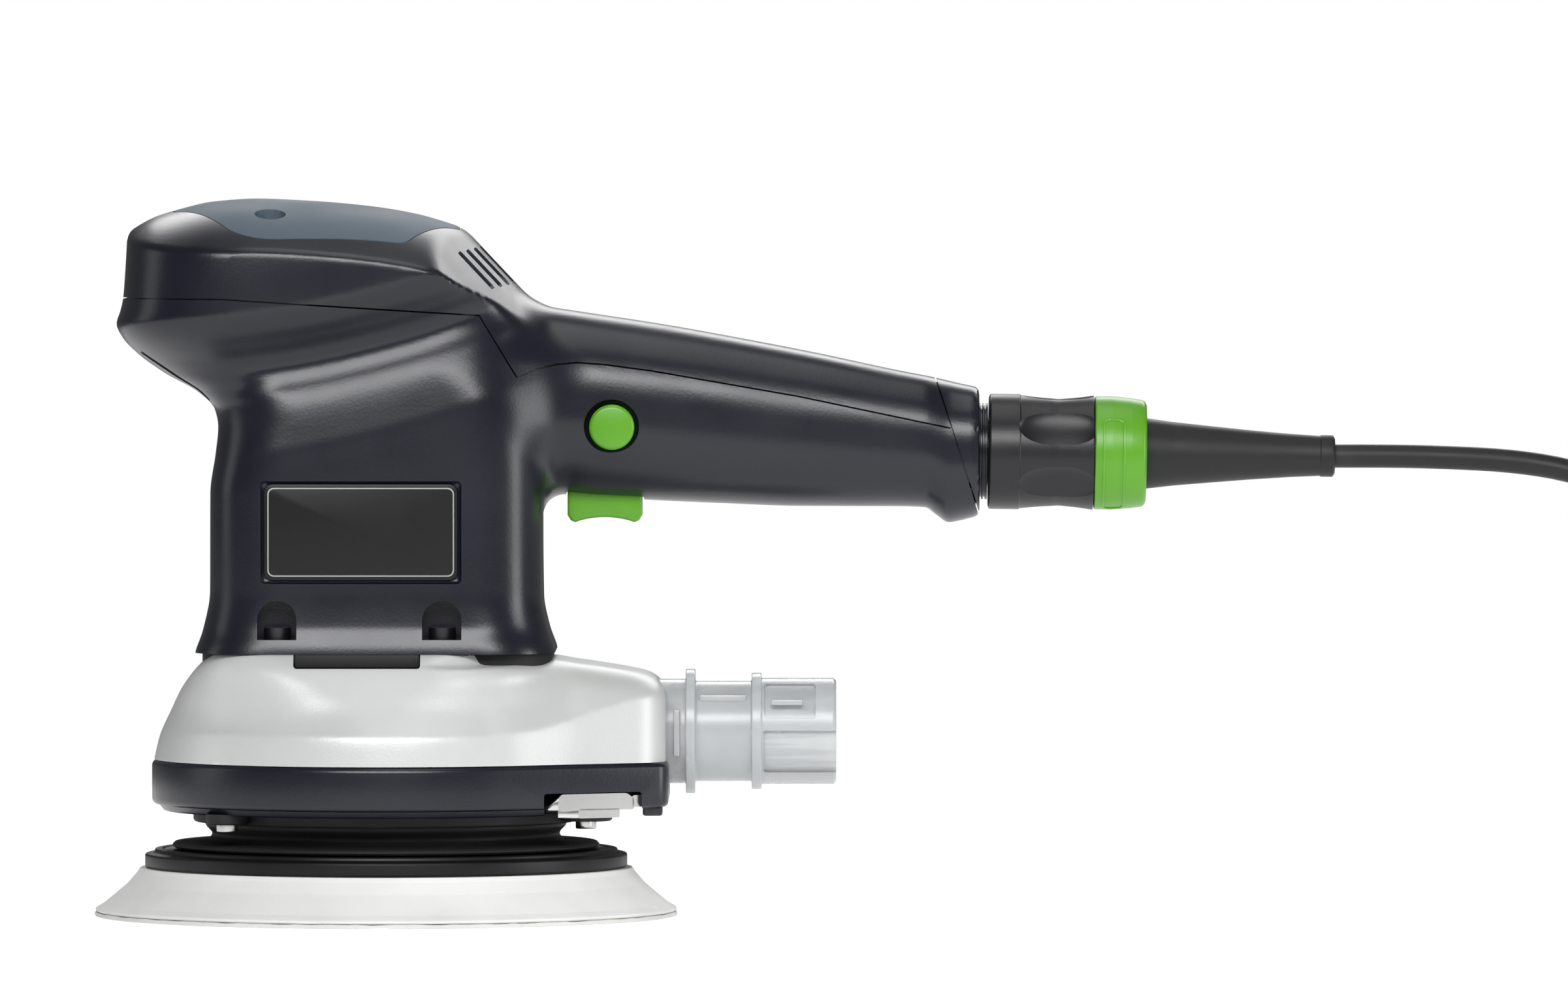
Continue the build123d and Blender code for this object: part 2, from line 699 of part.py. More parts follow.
def bearing_bridge():
    top = UPPER_BEARING_Z + UPPER_BEARING_T
    body = ring(UPPER_BEARING_Z - 1.5, top, UPPER_BEARING_R + 3, UPPER_BEARING_R)
    body += ring(UPPER_BEARING_Z - 1.5, UPPER_BEARING_Z, UPPER_BEARING_R + 3, 8)
    body += ring(CORE_TOP + WINDING_H + 1, UPPER_BEARING_Z + 4, BRIDGE_R, BRIDGE_R - 3)
    arm = block(UPPER_BEARING_R + 2, BRIDGE_R - 1, -3, 3, UPPER_BEARING_Z, UPPER_BEARING_Z + 4)
    for i in range(4):
        body += Rot(0, 0, 90 * i + 45) * arm
    for side in (-1, 1):
        body -= side_block(side, -5.6, 5.6, 20, 40, 132, 147)
    return body


def brush_holders():
    holders = []
    for side in (-1, 1):
        body = side_block(side, -5.5, 5.5, 14, 34, BRUSH_Z - 6, BRUSH_Z + 6)
        bore = side_block(side, -3.2, 3.2, 12, 32.5, BRUSH_Z - 4, BRUSH_Z + 4)
        holders.append(body - bore)
    return group(holders)


def carbon_brushes():
    brushes = []
    for side in (-1, 1):
        y0, y1 = COMMUTATOR_R + 0.15, 25.0
        brush = side_block(side, -3.0, 3.0, y0 - 1, y1, BRUSH_Z - 3.8, BRUSH_Z + 3.8)
        brushes.append(brush - disc(100, 180, y0))
    return group(brushes)


def brush_springs():
    """Spring blocks that push the brushes in, shown as short barrels."""
    return group([rod_y(min(side * 25, side * 32.5), max(side * 25, side * 32.5), 2.6, 0, BRUSH_Z) for side in (-1, 1)])


def switch_module():
    body = block(45.5, 72, SWITCH_FACE_Y, 15, SWITCH_Z, 138)
    return body + block(72, 76, 0, 4, 128, 134) + block(72, 76, 8, 12, 128, 134)


def control_board():
    board = block(82, 123, -13, 13, 130, 131.6)
    chips = [disc(131.6, 138.0, 4.0, 91, 5), disc(131.6, 138.0, 4.0, 91, -5)]
    chips += [block(100, 112, -6, 6, 131.6, 134.6), block(114, 121, -6, 6, 131.6, 136)]
    pot = ring(DIAL_Z + DIAL_T / 2 + 0.4, 130, 5.0, 1.6, DIAL_X, DIAL_Y)
    return board + chips + pot


# ---- controls ----
def trigger():
    x0, x1 = TRIGGER_X - TRIGGER_L / 2, TRIGGER_X + TRIGGER_L / 2
    half = TRIGGER_W / 2
    body = block(x0, x1, -half, half, TRIGGER_BOTTOM, TRIGGER_TOP)
    body = fillet(body.edges().filter_by(Axis.X).sort_by(Axis.Z)[:2], 1.6)
    arch_r = 26.0
    body -= rod_y(-20, 20, arch_r, TRIGGER_X - 1.0, TRIGGER_BOTTOM - arch_r + 1.9)
    flange = block(x0 - 1.6, x1 + 1.6, -half - 1.6, half + 1.6, TRIGGER_TOP - 2.2, TRIGGER_TOP)
    return body + flange


def coil_spring(radius, wire, height, turns):
    path = Helix((height - wire) / turns, height - wire, radius)
    section = Plane(origin=path @ 0, z_dir=path % 0) * Circle(wire / 2)
    return Pos(0, 0, wire / 2) * sweep(section, path=path, is_frenet=True)


def trigger_spring():
    return Pos(TRIGGER_X, 0, TRIGGER_TOP) * coil_spring(3.5, 0.8, SWITCH_Z - TRIGGER_TOP, 4)


def lock_button():
    shaft = rod_y(BUTTON_OUTER_Y, BUTTON_INNER_Y, BUTTON_R, BUTTON_X, BUTTON_Z)
    rim = shaft.edges().filter_by(GeomType.CIRCLE).sort_by(Axis.Y)[0]
    shaft = fillet(rim, 1.0)
    return shaft + rod_y(BUTTON_INNER_Y - 3, BUTTON_INNER_Y, BUTTON_R + 0.8, BUTTON_X, BUTTON_Z)


def lock_spring():
    length = SWITCH_FACE_Y - BUTTON_INNER_Y
    place = Pos(BUTTON_X, BUTTON_INNER_Y, BUTTON_Z) * Rot(-90, 0, 0)
    return place * coil_spring(3.2, 0.7, length, 4)


def speed_dial():
    z0 = DIAL_Z - DIAL_T / 2
    body = disc(z0, z0 + DIAL_T, DIAL_R, DIAL_X, DIAL_Y)
    for i in range(24):
        notch = Pos(DIAL_X, DIAL_Y, 0) * Rot(0, 0, 15 * i) * disc(z0 - 1, z0 + DIAL_T + 1, 0.6, DIAL_R + 0.2)
        body -= notch
    return body + disc(z0 + DIAL_T, 129.5, 1.5, DIAL_X, DIAL_Y)


# ---- inlet and detachable lead, built along X from the inlet's mouth ----


def inlet_tube():
    return lead(rod_x(-SOCKET_DEPTH - 2, 4, SOCKET_R + 2.2))


def inlet_neck():
    return lead(rod_x(-7.0, 0, NECK_R))


def inlet_socket(outer):
    wedge = outer & rear_region()
    wedge -= loft_x(handle_sections()[:-1] + [(HANDLE_END_X - 2.5, 102.4, 135.6, 17.6, 15)], WALL)
    body = wedge + lead(rod_x(-SOCKET_DEPTH - 2, 0, SOCKET_R + 2.2)) + inlet_neck()
    for x0, x1 in ((-1.7, -1.2), (-0.8, -0.4)):
        body -= lead(rod_x(x0, x1, NECK_R + 1) - rod_x(x0 - 1, x1 + 1, NECK_R - 0.5))
    return body - lead(rod_x(-SOCKET_DEPTH, 2, SOCKET_R))


def inlet_pins():
    return group([lead(rod_x(-SOCKET_DEPTH, -8, 1.6, side * PIN_OFFSET)) for side in (-1, 1)])


def plug_core():
    body = rod_x(-SOCKET_DEPTH + 1, 1.5, SOCKET_R - CLEAR) + rod_x(1.5, 36.0, CORE_R)
    for side in (-1, 1):
        body -= rod_x(-SOCKET_DEPTH, 4, 3.0, side * PIN_OFFSET)
    return lead(body)


def plug_contacts():
    """Brass sleeves that the inlet's pins enter."""
    x0, x1 = -SOCKET_DEPTH + 2, 4
    return group([lead(rod_x(x0, x1, 3.0, side * PIN_OFFSET) - rod_x(x0 - 1, x1 - 2, 1.6 + CLEAR, side * PIN_OFFSET))
                  for side in (-1, 1)])


def locking_sleeve():
    body = turned_x([(0.3, CORE_R + FIT), (0.3, SLEEVE_R - 0.8), (1.1, SLEEVE_R), (SLEEVE_L, SLEEVE_R),
                     (SLEEVE_L, CORE_R + FIT)])
    finger = Pos(18.2, 0, SLEEVE_R + 4.0) * Rot(90, 0, 0) * Cylinder(9.0, 9.0)
    for i in range(6):
        body -= Rot(60 * i + 30, 0, 0) * Pos(0, 0, 3.6) * finger
    return lead(body - rod_x(0, 1.6, SOCKET_R + 1.2))


def sleeve_ring():
    x0, x1 = SLEEVE_L, SLEEVE_L + RING_L
    body = turned_x([(x0, CORE_R + FIT), (x0, SLEEVE_R - 0.3), (x1 - 1.5, SLEEVE_R - 1.1), (x1, SLEEVE_R - 2.2),
                     (x1, BOOT_R + CLEAR), (x1 - 2.0, BOOT_R + CLEAR), (x1 - 2.0, CORE_R + FIT)])
    return lead(body)


def cable_boot():
    """Tapered strain relief with a collar at its tip."""
    x0 = 36.0
    points = [(x0, 0), (x0, BOOT_R), (41.0, BOOT_R), (48.0, 8.1), (58.0, 7.1), (68.0, 6.2), (78.0, 5.5),
              (BOOT_END - 3.6, 5.0), (BOOT_END - 3.6, BOOT_TIP_R), (BOOT_END - 0.6, BOOT_TIP_R),
              (BOOT_END, BOOT_TIP_R - 0.6), (BOOT_END, 0)]
    return lead(turned_x(points))


# ---- cord ----
def boot_tip():
    turn = math.radians(LEAD_TILT)
    return (LEAD_X + BOOT_END * math.cos(turn), 0, LEAD_Z - BOOT_END * math.sin(turn))


COIL_START_Y = COIL_Y - COIL_TURN_R
LEAD_ROUTE = [
    boot_tip(), (273, 0, 117.7), (304, -0.7, 115), (332, -4.2, 102), (350, -9.8, 78), (361, -16.5, 51),
    (373, -23.5, 27), (391, -31, 11), (413, -36, 4.8), (433, COIL_START_Y, 4.4),
]
TAIL_ROUTE = [
    (COIL_X - 9.2, COIL_START_Y, 23.0), (COIL_X + 9.3, COIL_START_Y, 24.6),
    (COIL_X + 25.3, COIL_START_Y + 9.3, 29.0), (PLUG_X, COIL_START_Y + 25.3, 30.5), (PLUG_X, PLUG_Y - 8, 32.8),
    (PLUG_X, PLUG_Y, PLUG_Z),
]


def cord_tube(route, name):
    """A tube of straight runs and tangent arcs, each arc as large as its runs allow."""
    points = [Vector(*p) for p in route]
    radii = []
    for a, b, c in zip(points, points[1:], points[2:]):
        turn = math.radians((b - a).get_angle(c - b))
        radii.append(0.45 * min((b - a).length, (c - b).length) / math.tan(turn / 2))
    print(name, "bend radii", [round(r, 1) for r in radii])
    path = FilletPolyline(*points, radius=radii)
    section = Plane(origin=path @ 0, z_dir=path % 0) * Circle(CORD_D / 2)
    tube = sweep(section, path=path)
    print(name, "length", round(path.length, 1), "volume ratio",
          round(tube.volume / (math.pi * CORD_D ** 2 / 4 * path.length), 4))
    return tube


def coil_height():
    return CORD_D + (COIL_LAYERS - 1) * COIL_PITCH + 0.3


def cord_coil():
    """The wound-up rest of the cord as one closed ring."""
    r_out = COIL_TURN_R + CORD_D / 2
    r_in = COIL_TURN_R - COIL_ROWS * COIL_PITCH - CORD_D / 2
    body = ring(COIL_BASE, COIL_BASE + coil_height(), r_out, r_in, COIL_X, COIL_Y)
    return fillet(body.edges().filter_by(GeomType.CIRCLE), 2.5)


def coil_tie():
    """A strap round the coil's turns, at the side towards the handle."""
    half = TIE_W / 2
    r_out = COIL_TURN_R + CORD_D / 2
    r_in = COIL_TURN_R - COIL_ROWS * COIL_PITCH - CORD_D / 2
    x0, x1 = COIL_X - r_out - 0.3, COIL_X - math.sqrt(r_in ** 2 - half ** 2) + 0.3
    z0, z1 = 0.0, COIL_BASE + coil_height() + 0.1 + TIE_T
    strap = block(x0 - TIE_T, x1 + TIE_T, -half, half, z0, z1)
    strap = fillet(strap.edges().filter_by(Axis.Y), 3.0)
    return Pos(0, COIL_Y, 0) * (strap - block(x0, x1, -half - 1, half + 1, z0 + TIE_T, z1 - TIE_T))


def mains_plug():
    """Flat two-pin plug body lying on the coil."""
    y0 = PLUG_Y + 24.0
    half_w, height = 17.5, 15.0
    faces = []
    for y, w, h in ((y0, 8.0, 11.0), (y0 + 8, 14.0, 13.0), (y0 + 20, half_w, height), (y0 + 38, half_w, height)):
        place = Plane(origin=(PLUG_X, y, PLUG_Z), x_dir=(1, 0, 0), z_dir=(0, -1, 0))
        faces.append(place * RectangleRounded(2 * w, h, 0.45 * h))
    return loft(faces, ruled=True)


def plug_relief():
    """Ribbed tapered strain relief behind the plug."""
    points = [(0, 0), (0, 4.2), (24.0, 5.4), (24.0, 0)]
    body = turned_x(points)
    for i in range(5):
        body -= rod_x(3 + 4 * i, 4.6 + 4 * i, 8) - rod_x(2 + 4 * i, 6 + 4 * i, 3.6)
    return Pos(PLUG_X, PLUG_Y, PLUG_Z) * Rot(0, 0, 90) * body


def plug_pins():
    y0 = PLUG_Y + 62.0
    pins = [rod_y(y0, y0 + 19.0, PLUG_PIN_R, PLUG_X + side * PLUG_PIN_SPACING / 2, PLUG_Z) for side in (-1, 1)]
    return group([chamfer(pin.edges().sort_by(Axis.Y)[-1], 0.8) for pin in pins])


# ---- write every sub-part ----
def build():
    outer = housing_outer()
    inner = housing_inner()
    upper, lower = shells(outer, inner)
    hood = hood_outer()
    outline = loft_z([(60.0, -47.5, 43.0, 39.8, 20), (72.0, -47.5, 43.0, 39.8, 20)])
    return {
        "motor_housing": motor_housing(lower, outer),
        "upper_shell": upper_shell(upper, outer),
        "top_grip_insert": top_grip_insert(outer),
        "name_plates": name_plates(),
        "cap_screws": cap_screws(),
        "housing_screws": housing_screws(),
        "dust_hood": dust_hood(),
        "hood_gasket": hood_gasket(hood, outline),
        "base_ring": base_ring(),
        "clamp_plate": clamp_plate(),
        "clamp_plate_screw": clamp_plate_screw(),
        "dust_port": dust_port(),
        "retaining_ring": retaining_ring(),
        "retaining_screws": retaining_screws(),
        "brake_cuff": brake_cuff(),
        "stator_core": stator_core(),
        "stator_windings": stator_windings(),
        "bearing_plate": bearing_plate(),
        "lower_bearing": bearing(LOWER_BEARING_Z, LOWER_BEARING_T, LOWER_BEARING_R, SHAFT_R),
        "upper_bearing": bearing(UPPER_BEARING_Z, UPPER_BEARING_T, UPPER_BEARING_R, SHAFT_TIP_R),
        "bearing_bridge": bearing_bridge(),
        "brush_holders": brush_holders(),
        "carbon_brushes": carbon_brushes(),
        "brush_springs": brush_springs(),
        "switch_module": switch_module(),
        "control_board": control_board(),
        "inlet_socket": inlet_socket(outer),
        "inlet_pins": inlet_pins(),
        "motor_shaft": motor_shaft(),
        "rotor_core": rotor_core(),
        "rotor_windings": rotor_windings(),
        "commutator": commutator(),
        "cooling_fan": cooling_fan(),
        "eccentric_hub": eccentric_hub(),
        "counterweight": counterweight(),
        "dust_fan": dust_fan(),
        "pad_bearings": pad_bearings(),
        "pad_spindle": pad_spindle(),
        "pad_plate": pad_plate(),
        "pad_foam": pad_foam(),
        "hook_face": hook_face(),
        "pad_washer": pad_washer(),
        "pad_screw": pad_screw(),
        "trigger": trigger(),
        "trigger_spring": trigger_spring(),
        "lock_button": lock_button(),
        "lock_spring": lock_spring(),
        "speed_dial": speed_dial(),
        "locking_sleeve": locking_sleeve(),
        "sleeve_ring": sleeve_ring(),
        "plug_core": plug_core(),
        "plug_contacts": plug_contacts(),
        "cable_boot": cable_boot(),
        "cord_lead": cord_tube(LEAD_ROUTE, "lead"),
        "cord_coil": cord_coil(),
        "cord_tail": cord_tube(TAIL_ROUTE, "tail"),
        "coil_tie": coil_tie(),
        "plug_relief": plug_relief(),
        "mains_plug": mains_plug(),
        "plug_pins": plug_pins(),
    }


os.makedirs("parts", exist_ok=True)
for node, shape in build().items():
    export_step(shape, f"parts/{node}.step")
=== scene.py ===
import json
import math
import bmesh
import bpy
import numpy as np
from mathutils import Matrix, Vector


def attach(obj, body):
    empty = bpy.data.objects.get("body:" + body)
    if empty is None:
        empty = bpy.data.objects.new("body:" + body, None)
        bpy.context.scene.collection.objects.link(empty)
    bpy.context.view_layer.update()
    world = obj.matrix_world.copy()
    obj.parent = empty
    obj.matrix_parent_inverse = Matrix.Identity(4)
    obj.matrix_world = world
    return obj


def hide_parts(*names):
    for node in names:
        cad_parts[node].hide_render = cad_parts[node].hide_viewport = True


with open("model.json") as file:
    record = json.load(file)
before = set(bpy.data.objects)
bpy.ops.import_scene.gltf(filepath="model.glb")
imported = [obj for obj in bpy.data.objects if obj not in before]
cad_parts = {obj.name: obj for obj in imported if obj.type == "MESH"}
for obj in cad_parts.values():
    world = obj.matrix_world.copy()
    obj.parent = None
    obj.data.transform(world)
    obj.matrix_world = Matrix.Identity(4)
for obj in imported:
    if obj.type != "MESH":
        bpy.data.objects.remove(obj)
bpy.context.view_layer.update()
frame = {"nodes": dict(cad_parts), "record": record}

# Lengths in the shape functions are millimetres, as in the CAD model; MM turns them into metres.
MM = 0.001
TILT = math.radians(0.8)  # droop of the connector's axis
INLET = (154.5, 0.0, 119.3)  # mouth of the appliance inlet
ORBIT = 2.5  # the pad's axis stands this far from the motor's axis, along +Y


# ---------------------------------------------------------------- numbers
def smooth_curve(points):
    """A monotone cubic through (position, value) points."""
    xs = np.array([p[0] for p in points], float)
    ys = np.array([p[1] for p in points], float)
    h, d = np.diff(xs), np.diff(ys) / np.diff(xs)
    m = np.zeros_like(xs)
    m[0], m[-1] = d[0], d[-1]
    same = d[1:] * d[:-1] > 0
    w1, w2 = 2 * h[1:] + h[:-1], h[1:] + 2 * h[:-1]
    with np.errstate(divide="ignore", invalid="ignore"):
        mean = (w1 + w2) / (w1 / d[:-1] + w2 / d[1:])
    m[1:-1] = np.where(same, mean, 0.0)

    def value(x):
        x = np.clip(x, xs[0], xs[-1])
        i = np.clip(np.searchsorted(xs, x, side="right") - 1, 0, len(h) - 1)
        t = (x - xs[i]) / h[i]
        a = (1 + 2 * t) * (1 - t) ** 2 * ys[i] + t * t * (3 - 2 * t) * ys[i + 1]
        return a + h[i] * (t * (1 - t) ** 2 * m[i] + t * t * (t - 1) * m[i + 1])

    return value


def smooth_max(a, b, k):
    h = np.maximum(k - np.abs(a - b), 0.0) / k
    return np.maximum(a, b) + h * h * k / 4


def smooth_min(a, b, k):
    return -smooth_max(-a, -b, k)


def rounded_rect(u, v, half_u, half_v, radius, power=2.3):
    """Distance from a rounded rectangle; power over 2 makes its corners start more softly."""
    du = np.abs(u) - (half_u - radius)
    dv = np.abs(v) - (half_v - radius)
    out_u, out_v = np.maximum(du, 0.0), np.maximum(dv, 0.0)
    corner = (out_u**power + out_v**power) ** (1 / power)
    return corner + np.minimum(np.maximum(du, dv), 0.0) - radius


def true_distance(field, step=0.4):
    """field divided by its own slope, so that it reads in millimetres near its surface."""

    def scaled(x, y, z):
        f = field(x, y, z)
        gx = field(x + step, y, z) - field(x - step, y, z)
        gy = field(x, y + step, z) - field(x, y - step, z)
        gz = field(x, y, z + step) - field(x, y, z - step)
        slope = np.sqrt(gx * gx + gy * gy + gz * gz) / (2 * step)
        return f / np.maximum(slope, 0.25)

    return scaled


# ---------------------------------------------------------------- meshes
def linked(name, data):
    obj = bpy.data.objects.new(name, data)
    bpy.context.scene.collection.objects.link(obj)
    return obj


def new_object(name, verts, faces):
    mesh = bpy.data.meshes.new(name)
    mesh.from_pydata(verts, [], faces)
    mesh.validate()
    return linked(name, mesh)


def iso_object(name, field, low, high, step):
    """A closed surface where field is 0, on a grid of cells and then moved onto the true surface."""
    axes = [np.arange(a, b + step, step) for a, b in zip(low, high)]
    margin = 1.5 * step

    def boxed(x, y, z):
        f = field(x, y, z)
        for p, axis in zip((x, y, z), axes):
            f = np.maximum(f, np.maximum(axis[0] + margin - p, p - axis[-1] + margin))
        return f

    value = boxed(*np.meshgrid(*axes, indexing="ij"))
    inside = value < 0
    size = [n - 1 for n in value.shape]
    corners = [(i, j, k) for i in (0, 1) for j in (0, 1) for k in (0, 1)]

    def at(array, c):
        return array[c[0]:c[0] + size[0], c[1]:c[1] + size[1], c[2]:c[2] + size[2]]

    count = sum(at(inside, c).astype(np.int8) for c in corners)
    cells = np.argwhere((count > 0) & (count < 8))
    index = -np.ones(size, np.int64)
    index[tuple(cells.T)] = np.arange(len(cells))
    total = np.zeros((len(cells), 3))
    hits = np.zeros(len(cells))
    for a in corners:
        for axis in range(3):
            if a[axis]:
                continue
            b = tuple(1 if i == axis else a[i] for i in range(3))
            va = value[tuple((cells + a).T)]
            vb = value[tuple((cells + b).T)]
            crosses = (va < 0) != (vb < 0)
            t = np.where(crosses, va / np.where(crosses, va - vb, 1.0), 0.0)
            place = cells + np.array(a, float)
            place[:, axis] += t
            total += place * crosses[:, None]
            hits += crosses
    points = total / hits[:, None] * step + np.array(low)
    faces = []
    for axis in range(3):
        u, v = (axis + 1) % 3, (axis + 2) % 3
        first = [slice(None)] * 3
        second = [slice(None)] * 3
        first[axis], second[axis] = slice(0, -1), slice(1, None)
        change = inside[tuple(first)] != inside[tuple(second)]
        edges = np.argwhere(change)
        along_u, along_v = edges[:, u], edges[:, v]
        edges = edges[(along_u > 0) & (along_v > 0) & (along_u < size[u]) & (along_v < size[v])]
        ring = []
        for du, dv in ((1, 1), (0, 1), (0, 0), (1, 0)):
            cell = edges.copy()
            cell[:, u] -= du
            cell[:, v] -= dv
            ring.append(index[tuple(cell.T)])
        quad = np.stack(ring, 1)
        leaves = inside[tuple(edges.T)]
        faces.append(np.where(leaves[:, None], quad, quad[:, ::-1]))
    for _ in range(3):
        points = onto_surface(boxed, points)
    return new_object(name, (points * MM).tolist(), np.concatenate(faces).tolist())


def onto_surface(field, points, step=0.05, furthest=0.8):
    """Points moved along the field's slope onto the place where it is 0, none by more than furthest."""
    x, y, z = points.T
    f = field(x, y, z)
    g = np.stack([
        field(x + step, y, z) - field(x - step, y, z),
        field(x, y + step, z) - field(x, y - step, z),
        field(x, y, z + step) - field(x, y, z - step),
    ], 1) / (2 * step)
    move = f[:, None] * g / np.maximum((g * g).sum(1), 0.05)[:, None]
    return points - np.clip(move, -furthest, furthest)


def from_bmesh(name, bm):
    bmesh.ops.recalc_face_normals(bm, faces=bm.faces)
    mesh = bpy.data.meshes.new(name)
    bm.to_mesh(mesh)
    bm.free()
    return linked(name, mesh)


def rounded_outline(points, steps=5):
    """A closed outline from (a, b, radius) corners, each replaced by an arc."""
    result = []
    for i, (a, b, radius) in enumerate(points):
        here = Vector((a, b))
        to_prev = Vector(points[i - 1][:2]) - here
        to_next = Vector(points[(i + 1) % len(points)][:2]) - here
        if radius <= 0:
            result.append((a, b))
            continue
        half = to_prev.angle(to_next) / 2
        reach = min(radius / math.tan(half), 0.48 * to_prev.length, 0.48 * to_next.length)
        radius = reach * math.tan(half)
        middle = (to_prev.normalized() + to_next.normalized()).normalized()
        centre = here + middle * (radius / math.sin(half))
        start = here + to_prev.normalized() * reach - centre
        turn = start.angle_signed(here + to_next.normalized() * reach - centre)
        for k in range(steps + 1):
            angle = -turn * k / steps
            c, s = math.cos(angle), math.sin(angle)
            result.append((centre.x + start.x * c - start.y * s, centre.y + start.x * s + start.y * c))
    return result


def rectangle(a0, b0, a1, b1, radius):
    """A rectangle's outline with all four corners rounded."""
    return rounded_outline([(a0, b0, radius), (a1, b0, radius), (a1, b1, radius), (a0, b1, radius)], 6)


AXIS_TURN = {"Z": (0, "Z"), "X": (math.pi / 2, "Y"), "Y": (-math.pi / 2, "X"), "-Y": (math.pi / 2, "X")}


def lathe(name, points, segments=128, axis="Z"):
    """A turned solid from (radius, height, corner radius) points; a radius of 0 closes it on the axis."""
    outline = rounded_outline(points)
    bm = bmesh.new()
    rings = []
    for r, h in outline:
        if r < 1e-6:
            rings.append([bm.verts.new((0, 0, h * MM))])
            continue
        turns = [2 * math.pi * i / segments for i in range(segments)]
        rings.append([bm.verts.new((r * math.cos(t) * MM, r * math.sin(t) * MM, h * MM)) for t in turns])
    for low, high in zip(rings, rings[1:] + rings[:1]):
        if len(low) == 1 and len(high) == 1:
            continue
        for i in range(segments):
            j = (i + 1) % segments
            if len(low) == 1:
                bm.faces.new((low[0], high[j], high[i]))
            elif len(high) == 1:
                bm.faces.new((low[i], low[j], high[0]))
            else:
                bm.faces.new((low[i], low[j], high[j], high[i]))
    obj = from_bmesh(name, bm)
    angle, about = AXIS_TURN[axis]
    if angle:
        obj.data.transform(Matrix.Rotation(angle, 4, about))
    return obj


def cylinder(name, radius, low, high, segments=64, axis="Z"):
    return lathe(name, [(0, low, 0), (radius, low, 0), (radius, high, 0), (0, high, 0)], segments, axis)


def prism(name, outline, low, high, axis="Y"):
    """A flat outline of (a, b) points carried from low to high along an axis.
    (a, b) is (x, z) for Y, (x, y) for Z and (y, z) for X."""
    def place(a, b, c):
        order = {"Y": (a, c, b), "Z": (a, b, c), "X": (c, a, b)}[axis]
        return [v * MM for v in order]

    bm = bmesh.new()
    near = [bm.verts.new(place(a, b, low)) for a, b in outline]
    far = [bm.verts.new(place(a, b, high)) for a, b in outline]
    bm.faces.new(near)
    bm.faces.new(far[::-1])
    for i in range(len(near)):
        j = (i + 1) % len(near)
        bm.faces.new((near[i], far[i], far[j], near[j]))
    return from_bmesh(name, bm)


def rounded_block(name, low, high, bevel, segments=3):
    """A box from low to high with every edge rounded."""
    bm = bmesh.new()
    bmesh.ops.create_cube(bm, size=1.0)
    for v in bm.verts:
        v.co = Vector([(a + b) / 2 + c * (b - a) for a, b, c in zip(low, high, v.co)]) * MM
    if bevel > 0:
        bmesh.ops.bevel(bm, geom=bm.edges[:], offset=bevel * MM, segments=segments, profile=0.5,
                        affect="EDGES")
    return from_bmesh(name, bm)


def beside(side, inner, outer):
    """The lower and upper y of what reaches from inner to outer on one side of the middle plane."""
    return sorted((side * inner, side * outer))


def move(obj, x=0.0, y=0.0, z=0.0, turn=0.0, axis="Z"):
    """Turns a piece's mesh about the origin's axis, then shifts it, in millimetres."""
    obj.data.transform(Matrix.Translation((x * MM, y * MM, z * MM)) @ Matrix.Rotation(turn, 4, axis))
    return obj


def copy_of(obj):
    twin = obj.copy()
    twin.data = obj.data.copy()
    bpy.context.scene.collection.objects.link(twin)
    return twin


def remove(obj):
    mesh = obj.data
    bpy.data.objects.remove(obj)
    bpy.data.meshes.remove(mesh)


def evaluated_mesh(obj):
    return bpy.data.meshes.new_from_object(obj.evaluated_get(bpy.context.evaluated_depsgraph_get()))


def combine(obj, other, operation, keep=False):
    """A boolean of two closed meshes, applied to obj; other is deleted unless keep."""
    tool = obj.modifiers.new("combine", "BOOLEAN")
    tool.operation, tool.object, tool.solver = operation, other, "MANIFOLD"
    settled = evaluated_mesh(obj)
    if not settled.polygons or len(settled.vertices) == len(obj.data.vertices):
        tool.solver = "EXACT"
        settled = evaluated_mesh(obj)
    settle(obj, settled)
    if not keep:
        remove(other)
    return obj


def settle(obj, mesh):
    """Gives obj the mesh that its modifiers made, in place of its own."""
    obj.modifiers.clear()
    old = obj.data
    obj.data = mesh
    bpy.data.meshes.remove(old)


def cut(obj, *tools):
    for tool in tools:
        combine(obj, tool, "DIFFERENCE")
    return obj


def join(name, parts):
    """One object from several, as separate closed shells of one piece."""
    bm = bmesh.new()
    for part in parts:
        bm.from_mesh(part.data)
    obj = from_bmesh(name, bm)
    for part in parts:
        remove(part)
    return obj


def bevel_edges(obj, width, angle=40, segments=2):
    """Rounds the sharp edges of a mesh that has few faces."""
    tool = obj.modifiers.new("bevel", "BEVEL")
    tool.width, tool.segments, tool.limit_method = width * MM, segments, "ANGLE"
    tool.angle_limit = math.radians(angle)
    settle(obj, evaluated_mesh(obj))
    return obj


# ---------------------------------------------------------------- housing shape
WALL = 2.6
HOUSING_BOTTOM = 68.3
HEAD_TOP_LINE = smooth_curve([
    (-72, 172.0), (-66, 175.6), (-62.9, 177.6), (-58.9, 179.6), (-53.9, 181.2), (-43.8, 183.5),
    (-33.0, 184.2), (-18.6, 183.6), (-5.0, 182.4), (6.5, 180.6), (16.6, 177.8), (30.0, 172.5),
])
HEAD_FRONT = smooth_curve([
    (60, -49.5), (68.3, -48.2), (74, -46.3), (84, -44.5), (109, -44.4), (119.5, -43.0), (126, -42.4),
    (130.5, -43.4), (134.6, -47.5), (139.6, -56.5), (144.6, -63.4), (148.5, -67.0), (152.2, -68.6),
    (155.5, -67.6), (158.7, -66.9), (165, -66.4), (175, -65.9), (190, -65.6),
])
HEAD_REAR = smooth_curve([
    (60, 45.0), (68.3, 43.8), (74, 41.9), (82, 40.4), (101.8, 40.2), (115, 40.2), (140, 40.6),
    (152, 40.2), (190, 39.0),
])
